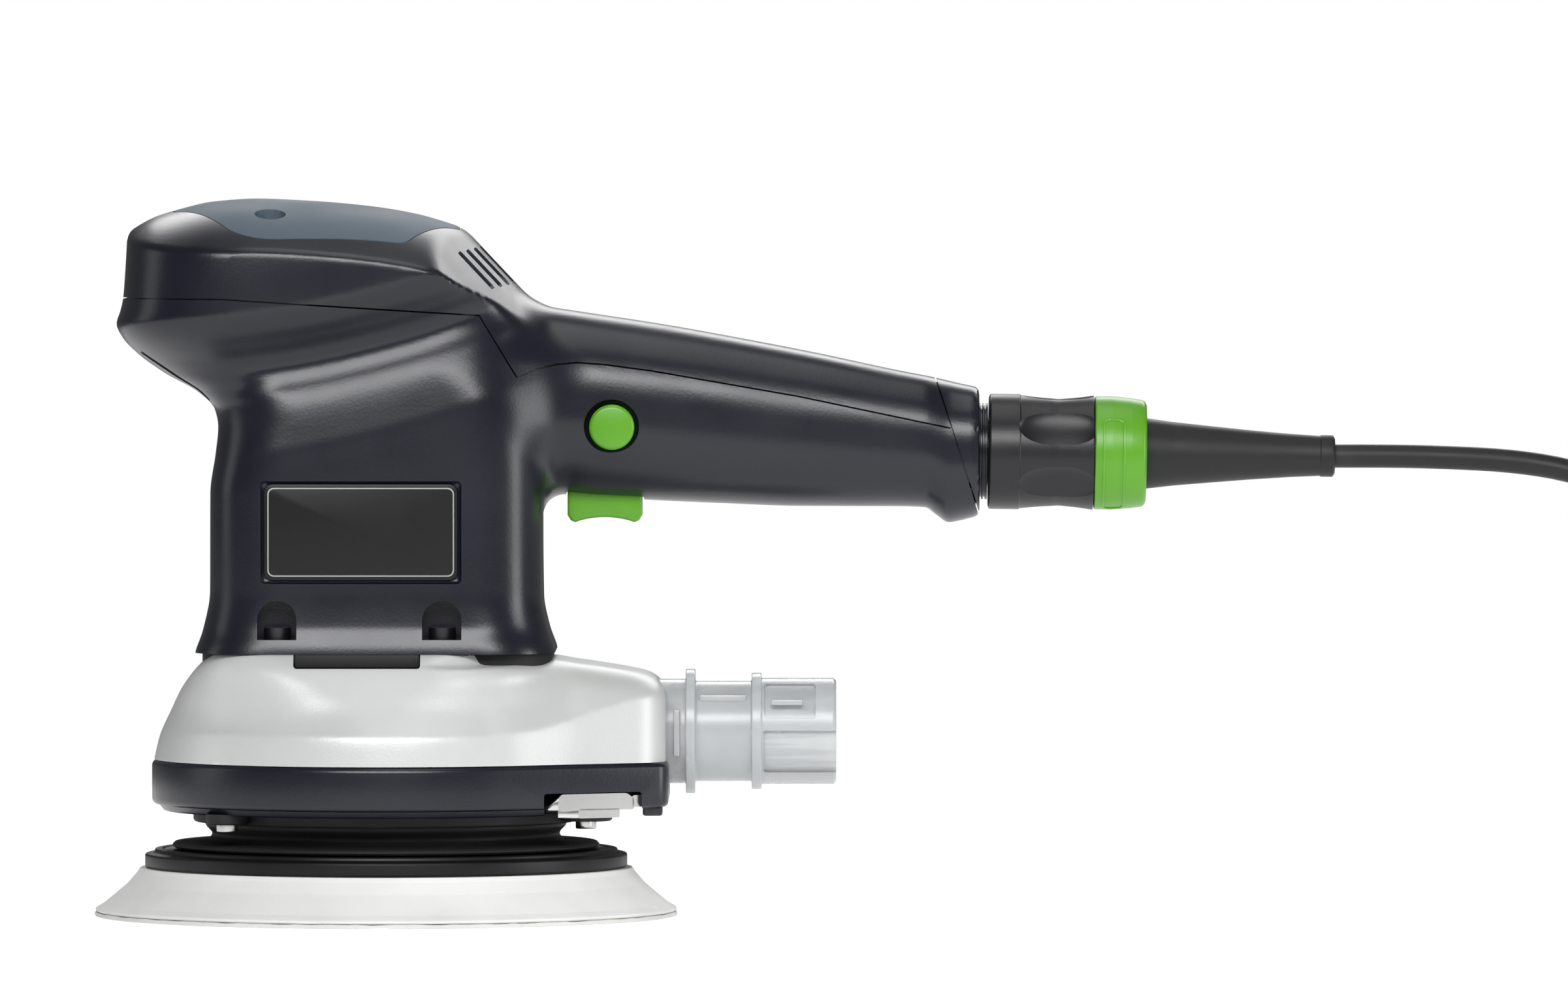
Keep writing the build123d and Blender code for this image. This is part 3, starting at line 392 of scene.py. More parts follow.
HEAD_SIDE = smooth_curve([
    (40, 42.0), (68.3, 40.8), (76, 38.9), (84, 38.3), (112, 38.6), (117.5, 38.7), (121, 38.4), (128, 37.5),
    (132, 36.5), (136, 35.0), (139.2, 34.4), (142, 35.5), (146, 38.9), (150, 42.4), (155, 44.9),
    (162, 45.1), (190, 42.5),
])
# the waist under the head's overhang runs upwards to the rear
WAIST_RISE = smooth_curve([
    (-70, 0), (-45, 0), (-35, 0.8), (-20, 3.0), (0, 7.5), (20, 13.5), (32, 18.0), (45, 20.0),
])
WAIST_FOOT, WAIST_FULL = 84, 106  # heights between which that rise sets in
HEAD_CORNER = smooth_curve([(60, 20), (110, 20), (130, 22), (145, 31), (160, 33), (190, 34)])
SIDE_DROP = 11.6  # how far the top has fallen at the ridge along each side
RIDGE_Y = 42.0
TOP_SLOPE = 0.96  # turns a height above the top into a distance from it
SLOPE_FOOT = (21.6, 175.2)  # a point of the rear slope in the middle plane, x and z
SLOPE_NORMAL = Vector((15.5, 14.6)).normalized()


def head_wall(x, y, z):
    front, rear = HEAD_FRONT(z), HEAD_REAR(z)
    lifted = z - WAIST_RISE(x) * np.clip((z - WAIST_FOOT) / (WAIST_FULL - WAIST_FOOT), 0, 1)
    side = HEAD_SIDE(lifted)
    return rounded_rect(x - (front + rear) / 2, y, (rear - front) / 2, side, HEAD_CORNER(z))


def head_top(x, y, z):
    return (z - HEAD_TOP_LINE(x) + SIDE_DROP * (y / RIDGE_Y) ** 2) * TOP_SLOPE


def slope_shift(y):
    """How far forward the rear slope has moved at that distance from the middle."""
    return 0.42 * (np.sqrt(y * y + 36.0) - 6.0)


def rear_slope(x, y, z):
    """The rear slope that holds the vents, falling away to both sides."""
    return (x + slope_shift(y) - SLOPE_FOOT[0]) * SLOPE_NORMAL[0] + (z - SLOPE_FOOT[1]) * SLOPE_NORMAL[1]


def head(x, y, z):
    top = smooth_max(head_top(x, y, z), rear_slope(x, y, z), 1.4)
    return smooth_max(head_wall(x, y, z), top, 1.3)


HANDLE_BOTTOM = smooth_curve([
    (0, 109), (40, 108.8), (55, 107.6), (66.9, 106.9), (87, 106.0), (107, 105.3), (132, 105.25),
    (138.5, 105.0), (141.5, 103.0), (144.6, 101.1), (148, 101.7), (152.6, 102.7), (170, 103),
])
HANDLE_TOP = smooth_curve([
    (0, 158), (30, 158.0), (41.8, 156.4), (51.8, 154.9), (72, 151.8), (92, 148.2), (112, 144.3),
    (132, 140.0), (139.8, 138.5), (152.3, 135.8), (170, 134),
])
HANDLE_SIDE = smooth_curve([
    (-30, 9), (-10, 16), (5, 20.5), (20, 23.4), (32, 24.3), (46, 24.2), (66, 22.8), (90, 21.2),
    (115, 20.0), (135, 19.0), (152, 18.0), (170, 17.5),
])


def handle(x, y, z):
    low, high = HANDLE_BOTTOM(x), HANDLE_TOP(x)
    half = (high - low) / 2
    radius = np.minimum(HANDLE_SIDE(x), half) * 0.93
    return rounded_rect(y, z - (low + high) / 2, HANDLE_SIDE(x), half, radius, 2.15)


HANDLE_START, HANDLE_END = -30, 152.4  # the handle begins hidden inside the head
FILLET = smooth_curve([
    (60, 7.0), (112, 8.0), (128, 14.0), (142, 14.0), (152, 5.0), (160, 3.5), (190, 3.0),
])


def housing(x, y, z):
    """The head and the handle, with the fillet between them wider at the head's waist."""
    ends = np.maximum(x - HANDLE_END, HANDLE_START - x)
    grip = smooth_max(handle(x, y, z), ends, 1.6)
    return smooth_min(head(x, y, z), grip, FILLET(z))


HOUSING = true_distance(housing)


def inside_housing(depth):
    """The region that lies more than depth below the housing's surface."""
    return lambda x, y, z: HOUSING(x, y, z) + depth


# ---------------------------------------------------------------- hood shape
HOOD_BOTTOM = 40.4
HOOD_TOP = 68.35
HOOD_FRONT = smooth_curve([
    (40.4, -59.5), (46.5, -58.0), (49.0, -57.0), (52.5, -55.3), (59, -52.0), (64.2, -48.1),
    (68.3, -43.9),
])
HOOD_REAR = smooth_curve([
    (40.4, 59.5), (47.5, 58.2), (49.5, 57.0), (54, 53.4), (60, 47.5), (64.6, 40.0), (65.6, 31.6),
    (68.3, 29.4),
])
HOOD_SIDE = smooth_curve([
    (40.4, 59.5), (47.6, 58.5), (49.6, 57.0), (54, 53.4), (59, 50.0), (64.2, 46.0), (68.3, 41.2),
])
HOOD_CORNER = smooth_curve([(40.4, 59.0), (48.2, 56.5), (58, 42), (68.3, 16)])
CREASE_RISE = smooth_curve([
    (-60, 0), (20, 0), (37.6, 1.1), (46.2, 3.2), (53.7, 5.6), (71.3, 9.6), (90, 11),
])
DUCT_TOP = smooth_curve([(0, 67.0), (30, 66.6), (43, 66.1), (71.3, 62.3), (90, 60)])
DUCT_END = 72.0
DUCT_TURN = math.radians(59.3)  # the duct's straight sides leave the round part at this angle
DUCT_REACH = 58.05  # distance of those sides from the motor's axis, at the crease
DUCT_ROUND = 7.0
CREASE_Z = 48.4


def hood(x, y, z):
    h = z - CREASE_RISE(x)
    front, rear, side = HOOD_FRONT(h), HOOD_REAR(h), HOOD_SIDE(h)
    dome = rounded_rect(x - (front + rear) / 2, y, (rear - front) / 2, side, HOOD_CORNER(h), 2.0)
    above = np.maximum(h - CREASE_Z, 0)
    below = np.minimum(h - CREASE_Z, 0)
    flank = x * math.cos(DUCT_TURN) + np.abs(y) * math.sin(DUCT_TURN) - DUCT_REACH
    flank = flank + 0.85 * above + 0.13 * below
    before = np.abs(y) * math.cos(DUCT_TURN) - x * math.sin(DUCT_TURN)
    duct = smooth_max(flank, x - DUCT_END, DUCT_ROUND)
    duct = smooth_max(duct, z - DUCT_TOP(x), DUCT_ROUND)
    duct = smooth_max(duct, before, 6.0)
    whole = smooth_min(dome, duct, 4.0)
    return smooth_max(whole, z - HOOD_TOP, 0.8)


HOOD = true_distance(hood)


# ---------------------------------------------------------------- materials
def material(name, colour, rough, metal=0.0, grain=0.0, grain_size=0.4, mottle=0.05, **more):
    """Principled plastic, rubber or metal. grain is the depth of its fine relief in micrometres, grain_size
    the width of one grain in millimetres, mottle the share by which roughness and colour wander."""
    mat = bpy.data.materials.new(name)
    mat.use_nodes = True
    tree = mat.node_tree
    shader = tree.nodes["Principled BSDF"]
    shader.inputs["Metallic"].default_value = metal
    for key, value in more.items():
        shader.inputs[key.replace("_", " ")].default_value = value
    place = tree.nodes.new("ShaderNodeTexCoord").outputs["Object"]

    def noise(scale, detail):
        node = tree.nodes.new("ShaderNodeTexNoise")
        node.inputs["Scale"].default_value = scale
        node.inputs["Detail"].default_value = detail
        tree.links.new(place, node.inputs["Vector"])
        return node.outputs["Fac"]

    def spread(source, low, high):
        node = tree.nodes.new("ShaderNodeMapRange")
        node.inputs["From Min"].default_value, node.inputs["From Max"].default_value = 0.3, 0.7
        node.inputs["To Min"].default_value, node.inputs["To Max"].default_value = low, high
        tree.links.new(source, node.inputs["Value"])
        return node.outputs["Result"]

    cloud = noise(45, 3)
    rough_low, rough_high = rough * (1 - 2 * mottle), min(rough * (1 + 2 * mottle), 1.0)
    tree.links.new(spread(cloud, rough_low, rough_high), shader.inputs["Roughness"])
    # convex edges are painted a paler colour: partly rubbed wear, partly a painted edge highlight
    edge_pointiness = tree.nodes.new("ShaderNodeNewGeometry").outputs["Pointiness"]
    edge = tree.nodes.new("ShaderNodeMapRange")
    edge.inputs["From Min"].default_value, edge.inputs["From Max"].default_value = 0.53, 0.62
    edge.inputs["To Max"].default_value = 0.35
    tree.links.new(edge_pointiness, edge.inputs["Value"])
    tint = tree.nodes.new("ShaderNodeMix")
    tint.data_type = "RGBA"
    tint.inputs["A"].default_value = (*[c * (1 - mottle) for c in colour], 1)
    tint.inputs["B"].default_value = (*[min(c * (1 + mottle), 1) for c in colour], 1)
    tree.links.new(spread(cloud, 0, 1), tint.inputs["Factor"])
    wear_and_edge_highlight = tree.nodes.new("ShaderNodeMix")
    wear_and_edge_highlight.data_type = "RGBA"
    wear_and_edge_highlight.inputs["B"].default_value = (*[min(c * 1.5 + 0.02, 1) for c in colour], 1)
    tree.links.new(edge.outputs["Result"], wear_and_edge_highlight.inputs["Factor"])
    tree.links.new(tint.outputs["Result"], wear_and_edge_highlight.inputs["A"])
    tree.links.new(wear_and_edge_highlight.outputs["Result"], shader.inputs["Base Color"])
    if grain:
        bump = tree.nodes.new("ShaderNodeBump")
        bump.inputs["Strength"].default_value = 1.0
        bump.inputs["Distance"].default_value = grain * 1e-6
        tree.links.new(noise(1000 / grain_size, 2), bump.inputs["Height"])
        tree.links.new(bump.outputs["Normal"], shader.inputs["Normal"])
    return mat


MATERIALS = {
    "dark_shell": material("anthracite shell", (0.0056, 0.0064, 0.0130), 0.30, grain=22, grain_size=0.7,
                           Specular_IOR_Level=0.50),
    "grip_insert": material("soft grip", (0.070, 0.100, 0.130), 0.60, grain=22, grain_size=0.35,
                            Specular_IOR_Level=0.4),
    "plate_black": material("black plate", (0.0045, 0.0045, 0.0055), 0.42, grain=4, grain_size=0.8,
                            Specular_IOR_Level=0.3),
    "dark_steel": material("blackened steel", (0.05, 0.05, 0.055), 0.35, metal=0.9, grain=4),
    "silver_hood": material("silver plastic", (0.56, 0.565, 0.565), 0.40, metal=0.2, grain=34, grain_size=0.6,
                            mottle=0.03),
    "black_rubber": material("black rubber", (0.008, 0.008, 0.009), 0.6, grain=14, Specular_IOR_Level=0.35),
    "bright_steel": material("bright steel", (0.56, 0.56, 0.55), 0.24, metal=1.0, grain=3, grain_size=0.9),
    "clear_port": material("clouded port", (0.66, 0.68, 0.69), 0.26, Transmission_Weight=0.5, IOR=1.46),
    "core_steel": material("core steel", (0.30, 0.30, 0.31), 0.45, metal=1.0, grain=6),
    "copper": material("copper", (0.72, 0.32, 0.16), 0.34, metal=1.0, grain=6),
    "cast_aluminium": material("cast aluminium", (0.55, 0.55, 0.55), 0.5, metal=1.0, grain=22),
    "inner_plastic": material("inner plastic", (0.09, 0.09, 0.10), 0.5, grain=10),
    "brass": material("nickelled brass", (0.68, 0.60, 0.42), 0.25, metal=1.0, grain=3),
    "carbon": material("carbon", (0.02, 0.02, 0.02), 0.55, grain=10),
    "board_green": material("board", (0.02, 0.16, 0.05), 0.4, grain=5),
    "white_foam": material("pad foam", (0.70, 0.70, 0.69), 0.75, grain=45, grain_size=0.7),
    "hook_fabric": material("hook face", (0.62, 0.62, 0.60), 0.92, grain=160, grain_size=0.45),
    "signal_green": material("green plastic", (0.092, 0.315, 0.010), 0.36, grain=12, grain_size=0.5),
    "sleeve_black": material("sleeve plastic", (0.0105, 0.0105, 0.0125), 0.36, grain=14, grain_size=0.4,
                             Specular_IOR_Level=0.4),
    "cable_black": material("cord rubber", (0.0085, 0.0085, 0.0095), 0.5, grain=12, grain_size=0.5,
                            Specular_IOR_Level=0.4),
    "tie_fabric": material("tie webbing", (0.018, 0.018, 0.020), 0.9, grain=120, grain_size=0.5),
}


def finished(obj, slot, body, *nodes, angle=32):
    """Shades a piece smooth up to angle, paints it from its slot, sets it on its body and hides the CAD
    nodes that it stands for."""
    if angle:
        obj.data.shade_smooth()
        obj.data.set_sharp_from_angle(angle=math.radians(angle))
    obj.data.materials.clear()
    obj.data.materials.append(MATERIALS[slot])
    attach(obj, body)
    if nodes:
        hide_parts(*nodes)
    return obj


# ---------------------------------------------------------------- camera, light, floor
TARGET = Vector((0.1023, 0.0, 0.1060))
DISTANCE = 4.0
ELEVATION = math.radians(1.3)
PICTURE_WIDTH = 0.4029  # width seen at the handle's middle plane

camera = linked("camera", bpy.data.cameras.new("camera"))
camera.data.sensor_width = 36.0
camera.data.lens = 36.0 * DISTANCE / PICTURE_WIDTH
camera.location = TARGET + DISTANCE * Vector((0, -math.cos(ELEVATION), math.sin(ELEVATION)))
camera.rotation_euler = (math.pi / 2 - ELEVATION, 0, 0)
camera.data.clip_end = 100
bpy.context.scene.camera = camera


MIDDLE = Vector((0.07, 0, 0.09))


def softbox(name, place, size, power):
    """A rectangular light of that many watts, turned to the middle of the sander."""
    light = linked(name, bpy.data.lights.new(name, "AREA"))
    light.data.shape, light.data.size, light.data.size_y = "RECTANGLE", *size
    light.data.energy = power
    light.location = place
    light.rotation_euler = (MIDDLE - Vector(place)).to_track_quat("-Z", "Y").to_euler()


softbox("front softbox", (0.0, -1.30, 0.88), (1.2, 0.45), 20)
softbox("back softbox", (0.2, 1.30, 0.88), (1.2, 0.45), 8)
softbox("overhead softbox", (0.15, 0.0, 1.50), (1.2, 0.6), 4)
softbox("left softbox", (-1.5, 0.15, 0.45), (0.5, 0.9), 1.5)
softbox("right softbox", (1.45, -0.30, 0.30), (0.5, 0.8), 7)

bpy.context.scene.view_settings.view_transform = "Standard"
world = bpy.data.worlds.new("studio")
bpy.context.scene.world = world
world.use_nodes = True
WHITE = (1, 1, 1, 1)
background = world.node_tree.nodes["Background"]
background.inputs["Color"].default_value = WHITE
background.inputs["Strength"].default_value = 0.12

floor_mat = material("studio_floor", (0.80, 0.80, 0.80), 0.55, mottle=0.01, Emission_Color=WHITE,
                     Emission_Strength=0.50)
backdrop_mat = material("studio_backdrop", (0, 0, 0), 1.0, mottle=0.0, Emission_Color=WHITE,
                        Emission_Strength=1.0, Specular_IOR_Level=0.0)
STUDIO_X = 0.15  # the floor and the wall stand round this x
FLOOR_R = 0.85
WALL_R = 14.0
WALL_LOW, WALL_HIGH = -12.0, 14.0
STUDIO_SIDES = 96


def ring_of_points(radius, z):
    turns = [2 * math.pi * i / STUDIO_SIDES for i in range(STUDIO_SIDES)]
    return [(STUDIO_X + radius * math.cos(t), radius * math.sin(t), z) for t in turns]


def studio():
    """A round pale floor, and a pale wall round it that only the camera sees."""
    n = STUDIO_SIDES
    floor = new_object("studio_floor", ring_of_points(FLOOR_R, 0.0), [list(range(n))])
    floor.data.materials.append(floor_mat)
    verts = ring_of_points(WALL_R, WALL_LOW) + ring_of_points(WALL_R, WALL_HIGH)
    faces = [(i, (i + 1) % n, n + (i + 1) % n, n + i) for i in range(n)]
    wall = new_object("studio_wall", verts, faces + [list(range(n)), list(range(n, 2 * n))])
    wall.data.materials.append(backdrop_mat)
    wall.visible_diffuse = wall.visible_glossy = wall.visible_shadow = False


studio()


# ---------------------------------------------------------------- cord
CORD_R = 3.0
COIL_X, COIL_Y = 432.0, 12.0
COIL_BASE = 1.2
TURN_R = 48.8  # centre line of a layer's outermost turn
PITCH = 6.1
LAYERS, ROWS = 4, 4
BOOT_END = 89.3


def lead_point(x):
    """A point on the connector's axis, x behind the inlet's mouth."""
    return (INLET[0] + x * math.cos(TILT), 0.0, INLET[2] - x * math.sin(TILT))


LEAD_ROUTE = [
    lead_point(BOOT_END), (258, 0, 118.1), (273, 0, 117.7), (289, -0.3, 116.9), (304, -0.8, 114.6),
    (319, -2, 109.5), (332, -4.5, 101.5), (342, -7.5, 90.5), (350, -10.6, 77.5), (356, -14, 64),
    (361.5, -17.6, 50.5), (367, -21.4, 38), (374, -25.5, 26.5), (382, -29.5, 17.3), (392, -32.8, 10.4),
    (403, -35.2, 6.4), (414, -36.4, 4.8),
]
TAIL_ROUTE = [
    (441.3, -36.8, 24.6), (451, -34.5, 27.3), (459.5, -28, 29.6), (464.8, -18.5, 30.9), (466.5, -8, 32.2),
    (466.5, 0, 33.1), (466.5, 7.2, 33.4), (466.5, 12, 33.4),
]
POINTS_PER_TURN = 16


def coil_points():
    """The control points of the wound turns: spirals in and out, one layer on the other."""
    points = []
    per_layer = ROWS * POINTS_PER_TURN
    swell = 1 / 0.981  # the spline runs inside its control points
    for i in range(LAYERS * per_layer):
        layer, k = divmod(i, per_layer)
        share = k / per_layer
        inward = share if layer % 2 == 0 else 1 - share
        radius = (TURN_R - ROWS * PITCH * inward) * swell
        lift = np.clip((share - 0.93) / 0.07, 0, 1) if layer < LAYERS - 1 else 0
        z = COIL_BASE + CORD_R + (layer + lift) * PITCH
        angle = -math.pi / 2 + 2 * math.pi * i / POINTS_PER_TURN
        points.append((COIL_X + radius * math.cos(angle), COIL_Y + radius * math.sin(angle), z))
    return points


def cord_curve():
    curve = bpy.data.curves.new("cord", "CURVE")
    curve.dimensions, curve.bevel_depth, curve.bevel_resolution = "3D", CORD_R * MM, 6
    curve.resolution_u, curve.use_fill_caps = 4, True
    points = LEAD_ROUTE + coil_points() + TAIL_ROUTE
    spline = curve.splines.new("NURBS")
    spline.points.add(len(points) - 1)
    for point, place in zip(spline.points, points):
        point.co = (*[v * MM for v in place], 1)
    spline.order_u = 3
    spline.use_endpoint_u = True
    return finished(linked("cord", curve), "cable_black", "mains_lead", "cord_lead", "cord_coil", "cord_tail",
                    angle=None)


cord = cord_curve()
PLUG = (466.5, 7.2, 33.4)  # where the strain relief begins


def plug_relief():
    """Tapered strain relief with ribs, behind the plug."""
    outline = [(0, 0, 0), (4.2, 0, 0.6)]
    for i in range(5):
        a = 3.0 + 4 * i
        r = 4.3 + 0.045 * a
        outline += [(r, a, 0.2), (3.5, a, 0.2), (3.5, a + 1.6, 0.2), (r + 0.05, a + 1.6, 0.2)]
    outline += [(5.4, 24.2, 0), (0, 24.2, 0)]
    return move(lathe("plug_relief_piece", outline, 48, "Y"), *PLUG)


def superellipse(half_u, half_v, power, count=48):
    def signed(value):
        return math.copysign(abs(value) ** (2 / power), value)

    turns = [2 * math.pi * i / count for i in range(count)]
    return [(signed(math.cos(t)) * half_u, signed(math.sin(t)) * half_v) for t in turns]


def lofted(name, rings):
    """A closed skin through rings of points, all of the same count, with flat ends."""
    bm = bmesh.new()
    made = [[bm.verts.new([v * MM for v in p]) for p in ring] for ring in rings]
    for low, high in zip(made, made[1:]):
        for i in range(len(low)):
            j = (i + 1) % len(low)
            bm.faces.new((low[i], low[j], high[j], high[i]))
    bm.faces.new(made[0])
    bm.faces.new(made[-1])
    return from_bmesh(name, bm)


def plug_body():
    """The flat two-pin plug with finger grips on both sides."""
    rings = []
    for y, half_x, half_z, power in (
        (24.0, 6.0, 4.5, 2.2), (24.6, 7.4, 5.4, 2.3), (28, 10.0, 6.2, 2.6), (33, 14.0, 6.9, 3.0),
        (39, 16.6, 7.3, 3.6), (43, 17.3, 7.5, 4.0), (50, 17.5, 7.5, 4.2), (58, 17.5, 7.5, 4.2),
        (61.2, 17.5, 7.5, 4.2), (61.8, 17.2, 7.2, 4.2), (62.0, 16.6, 6.7, 4.2),
    ):
        rings.append([(a, y, b) for a, b in superellipse(half_x, half_z, power)])
    obj = lofted("plug_body", rings)
    for side in (-1, 1):
        for i in range(5):
            x, y = side * 18.1, 44 + 2.6 * i
            cut(obj, rounded_block("grip", (x - 1.5, y - 0.7, -5), (x + 1.5, y + 0.7, 5), 0.3, 1))
    return move(obj, *PLUG)


def plug_pins():
    pins = []
    for side in (-1, 1):
        pin = lathe("pin", [(0, 61.5, 0), (2.4, 61.5, 0), (2.4, 81, 1.0), (0, 81, 0)], 32, "Y")
        pins.append(move(pin, side * 9.5))
    return move(join("plug_pin_pair", pins), *PLUG)


def coil_tie():
    """A strap round the turns, at the side towards the handle."""
    half, thick = 7.0, 1.1
    outer = TURN_R + CORD_R
    inner = TURN_R - ROWS * PITCH - CORD_R
    x0, x1 = COIL_X - outer - 0.3, COIL_X - math.sqrt(inner**2 - half**2) + 0.3
    z0, z1 = thick, COIL_BASE + 2 * CORD_R + (LAYERS - 1) * PITCH + 0.2
    hole = rectangle(x0, z0, x1, z1, 2.6)
    skin = rectangle(x0 - thick, z0 - thick, x1 + thick, z1 + thick, 2.6 + thick)
    bm = bmesh.new()
    rings = []
    for y in (-half, half):
        for line in (skin, hole):
            rings.append([bm.verts.new((a * MM, (COIL_Y + y) * MM, b * MM)) for a, b in line])
    n = len(skin)
    for first, second in ((0, 1), (0, 2), (1, 3), (2, 3)):
        for i in range(n):
            j = (i + 1) % n
            bm.faces.new((rings[first][i], rings[first][j], rings[second][j], rings[second][i]))
    strap = bevel_edges(from_bmesh("tie_strap", bm), 0.3, 50)
    flap = rounded_block("flap", (x0 + 5, COIL_Y - 6.6, z1 + 0.9), (x1 - 3, COIL_Y + 6.6, z1 + 2.1), 0.4, 2)
    return join("tie_strap", [strap, flap])


relief = finished(plug_relief(), "cable_black", "mains_lead", "plug_relief")
plug = finished(plug_body(), "cable_black", "mains_lead", "mains_plug", angle=40)
pins = finished(plug_pins(), "brass", "mains_lead", "plug_pins")
tie = finished(coil_tie(), "tie_fabric", "mains_lead", "coil_tie", angle=40)


# ---------------------------------------------------------------- housing pieces
SEAM = [(-90, 158.7), (-40.8, 158.5), (24.5, 154.3), (34.1, 138.5), (38.9, 140.5), (44, 141.7),
        (49.2, 142.15), (56, 141.7), (68.6, 140.0), (105.6, 133.55), (146.4, 125.0)]
SEAM_GAP = 0.42
GROOVE_DEPTH = 1.0
END_SEAM = [(140.8, 138.8), (141.6, 136.3), (152.2, 103.2), (152.2, 95.0)]
REGION_Y = 70  # half the width of the cutting regions, wider than the sander


def region(name, outline):
    return prism(name, outline, -REGION_Y, REGION_Y)


def upper_side():
    """The region above the seam and in front of the end seam."""
    return region("upper", SEAM + [(146.4, 220), (-90, 220)])


def seam_cutter():
    """A thin sheet along the seam, as wide as the gap."""
    upper = []
    for i, (x, z) in enumerate(SEAM):
        a, b = SEAM[max(i - 1, 0)], SEAM[min(i + 1, len(SEAM) - 1)]
        dx, dz = b[0] - a[0], b[1] - a[1]
        length = math.hypot(dx, dz)
        upper.append((x - dz / length * SEAM_GAP, z + dx / length * SEAM_GAP))
    return region("seam", SEAM + upper[::-1])


def behind_end_seam():
    return region("behind", END_SEAM + [(200, 95), (200, 138.8)])


def below(level):
    return region("below", [(-90, level - 30), (90, level - 30), (90, level), (-90, level)])


INSERT_T = 2.5
INSERT_MIDDLE = -17.5
INSERT_CORNERS = [(-54, -8, 8), (-35.5, -40.0, 13), (5.6, -34.6, 4.5), (19, -6, 5)]


def insert_outline(extra=0.0):
    """The grip insert's plan, with every point moved outwards from the middle by extra."""
    corners = INSERT_CORNERS + [(x, -y, r) for x, y, r in INSERT_CORNERS[::-1]]
    result = []
    for x, y in rounded_outline(corners, 8):
        out_x = x - INSERT_MIDDLE
        reach = math.hypot(out_x, y)
        result.append((x + extra * out_x / reach, y + extra * y / reach))
    return result


BOX_LOW, BOX_HIGH = (-72, -49, 64), (156, 49, 188)  # the box that the housing is built in
GRID = 1.1
INNER_GRID = 2.2
FLOOR_GRID = 1.8
SEAT_GAP = 0.35  # play round the insert

skin = iso_object("housing_skin", housing, BOX_LOW, BOX_HIGH, GRID)
cavity = iso_object("cavity", inside_housing(WALL), BOX_LOW, BOX_HIGH, INNER_GRID)
groove_floor = iso_object("groove_floor", inside_housing(GROOVE_DEPTH), BOX_LOW, BOX_HIGH, FLOOR_GRID)
INSERT_LOW, INSERT_HIGH = (-62, -44, 160), (28, 44, 188)
insert_floor = iso_object("insert floor", inside_housing(INSERT_T), INSERT_LOW, INSERT_HIGH, FLOOR_GRID)
insert_body = copy_of(skin)
insert_body.name = "grip_pad"
combine(insert_body, prism("outline", insert_outline(), 168, 190, "Z"), "INTERSECT")
combine(insert_body, insert_floor, "DIFFERENCE")
CAP_SCREW_X, CAP_SCREW_Y, CAP_SCREW_R = -28.9, 24.0, 4.0
CAP_POST_R = 5.2
for side in (-1, 1):
    cut(insert_body, move(cylinder("hole", CAP_SCREW_R, 150, 190, 48), CAP_SCREW_X, side * CAP_SCREW_Y))
finished(insert_body, "grip_insert", "housing", "top_grip_insert")


def grooved(cutter):
    """Keeps only the part of a cutter that lies within a groove's depth of the housing's surface."""
    return combine(cutter, groove_floor, "DIFFERENCE", keep=True)


lower = cut(skin, below(HOUSING_BOTTOM))
inlet_wedge = copy_of(lower)
cut(lower, cavity, behind_end_seam())
combine(inlet_wedge, behind_end_seam(), "INTERSECT")
gap = region("gap", END_SEAM + [(x + SEAM_GAP, z) for x, z in END_SEAM[::-1]])
cut(inlet_wedge, grooved(gap))

upper = copy_of(lower)
upper.name, lower.name = "upper_shell_skin", "motor_housing_skin"
combine(upper, upper_side(), "INTERSECT")
cut(upper, grooved(seam_cutter()))
remove(groove_floor)
cut(lower, upper_side())

# upper shell: the insert's seat, the vents and the posts that hold the cap screws
cut(upper, prism("seat", insert_outline(SEAT_GAP), 165, 190, "Z"))
VENT_W = 2.9
VENT_TURN = math.radians(48.5)
for i in range(8):
    y = -21 + 6 * i
    x, z = 29.35 - 0.81 * slope_shift(y), 167.55 - 0.2 * slope_shift(y)
    slot = rounded_block("vent", (-6.4, -VENT_W / 2, -9), (6.4, VENT_W / 2, 9), 0.55, 2)
    cut(upper, move(slot, x, y, z, VENT_TURN, "Y"))
posts = []
for side in (-1, 1):
    post = lathe("post", [(CAP_SCREW_R, 160, 0), (CAP_POST_R, 160, 0), (CAP_POST_R, 175.8, 0),
                          (CAP_SCREW_R, 175.8, 0.4)], 48)
    posts.append(move(post, CAP_SCREW_X, side * CAP_SCREW_Y))
upper = join("upper_shell_skin", [upper] + posts)
finished(upper, "dark_shell", "housing", "upper_shell")

# motor housing: recesses for the plates, screw pockets, trigger, button and dial openings
PLATE_Y, PLATE_FACE_Y = 36.9, 37.75  # back and face of the side plates
POCKET_R = 5.0
liners = []
for side in (-1, 1):
    near, far = beside(side, 37.0, 60)
    cut(lower, rounded_block("label", (-31.1, near, 86.2), (20.2, far, 112.4), 1.2))
    for x in (-26.8, 15.2):
        near, far = beside(side, 31.0, 60)
        outline = [(x - POCKET_R, 72.0), (x + POCKET_R, 72.0), (x + POCKET_R, 77.0)]
        outline += [(x + POCKET_R * math.cos(a), 77 + POCKET_R * math.sin(a))
                    for a in np.linspace(0, math.pi, 15)[1:]]
        cut(lower, prism("pocket", outline, near, far))
        a, b = beside(side, 29.0, PLATE_Y)
        liner = rounded_block("liner", (x - 6.4, a, 68.6), (x + 6.4, b, 84.0), 0.0)
        liners.append(cut(liner, prism("pocket", outline, near, far)))
TRIGGER_X = (46.8, 65.9)
TRIGGER_PLAY = 0.5
trigger_low = (TRIGGER_X[0] - TRIGGER_PLAY, -8 - TRIGGER_PLAY, 98)
trigger_high = (TRIGGER_X[1] + TRIGGER_PLAY, 8 + TRIGGER_PLAY, 116)
cut(lower, rounded_block("trigger hole", trigger_low, trigger_high, 1.0))
BUTTON = (58.3, 0, 125.9)
hole = lathe("button hole", [(0, 14, 0), (6.1, 14, 0.4), (6.1, 40, 0.4), (0, 40, 0)], 64, "-Y")
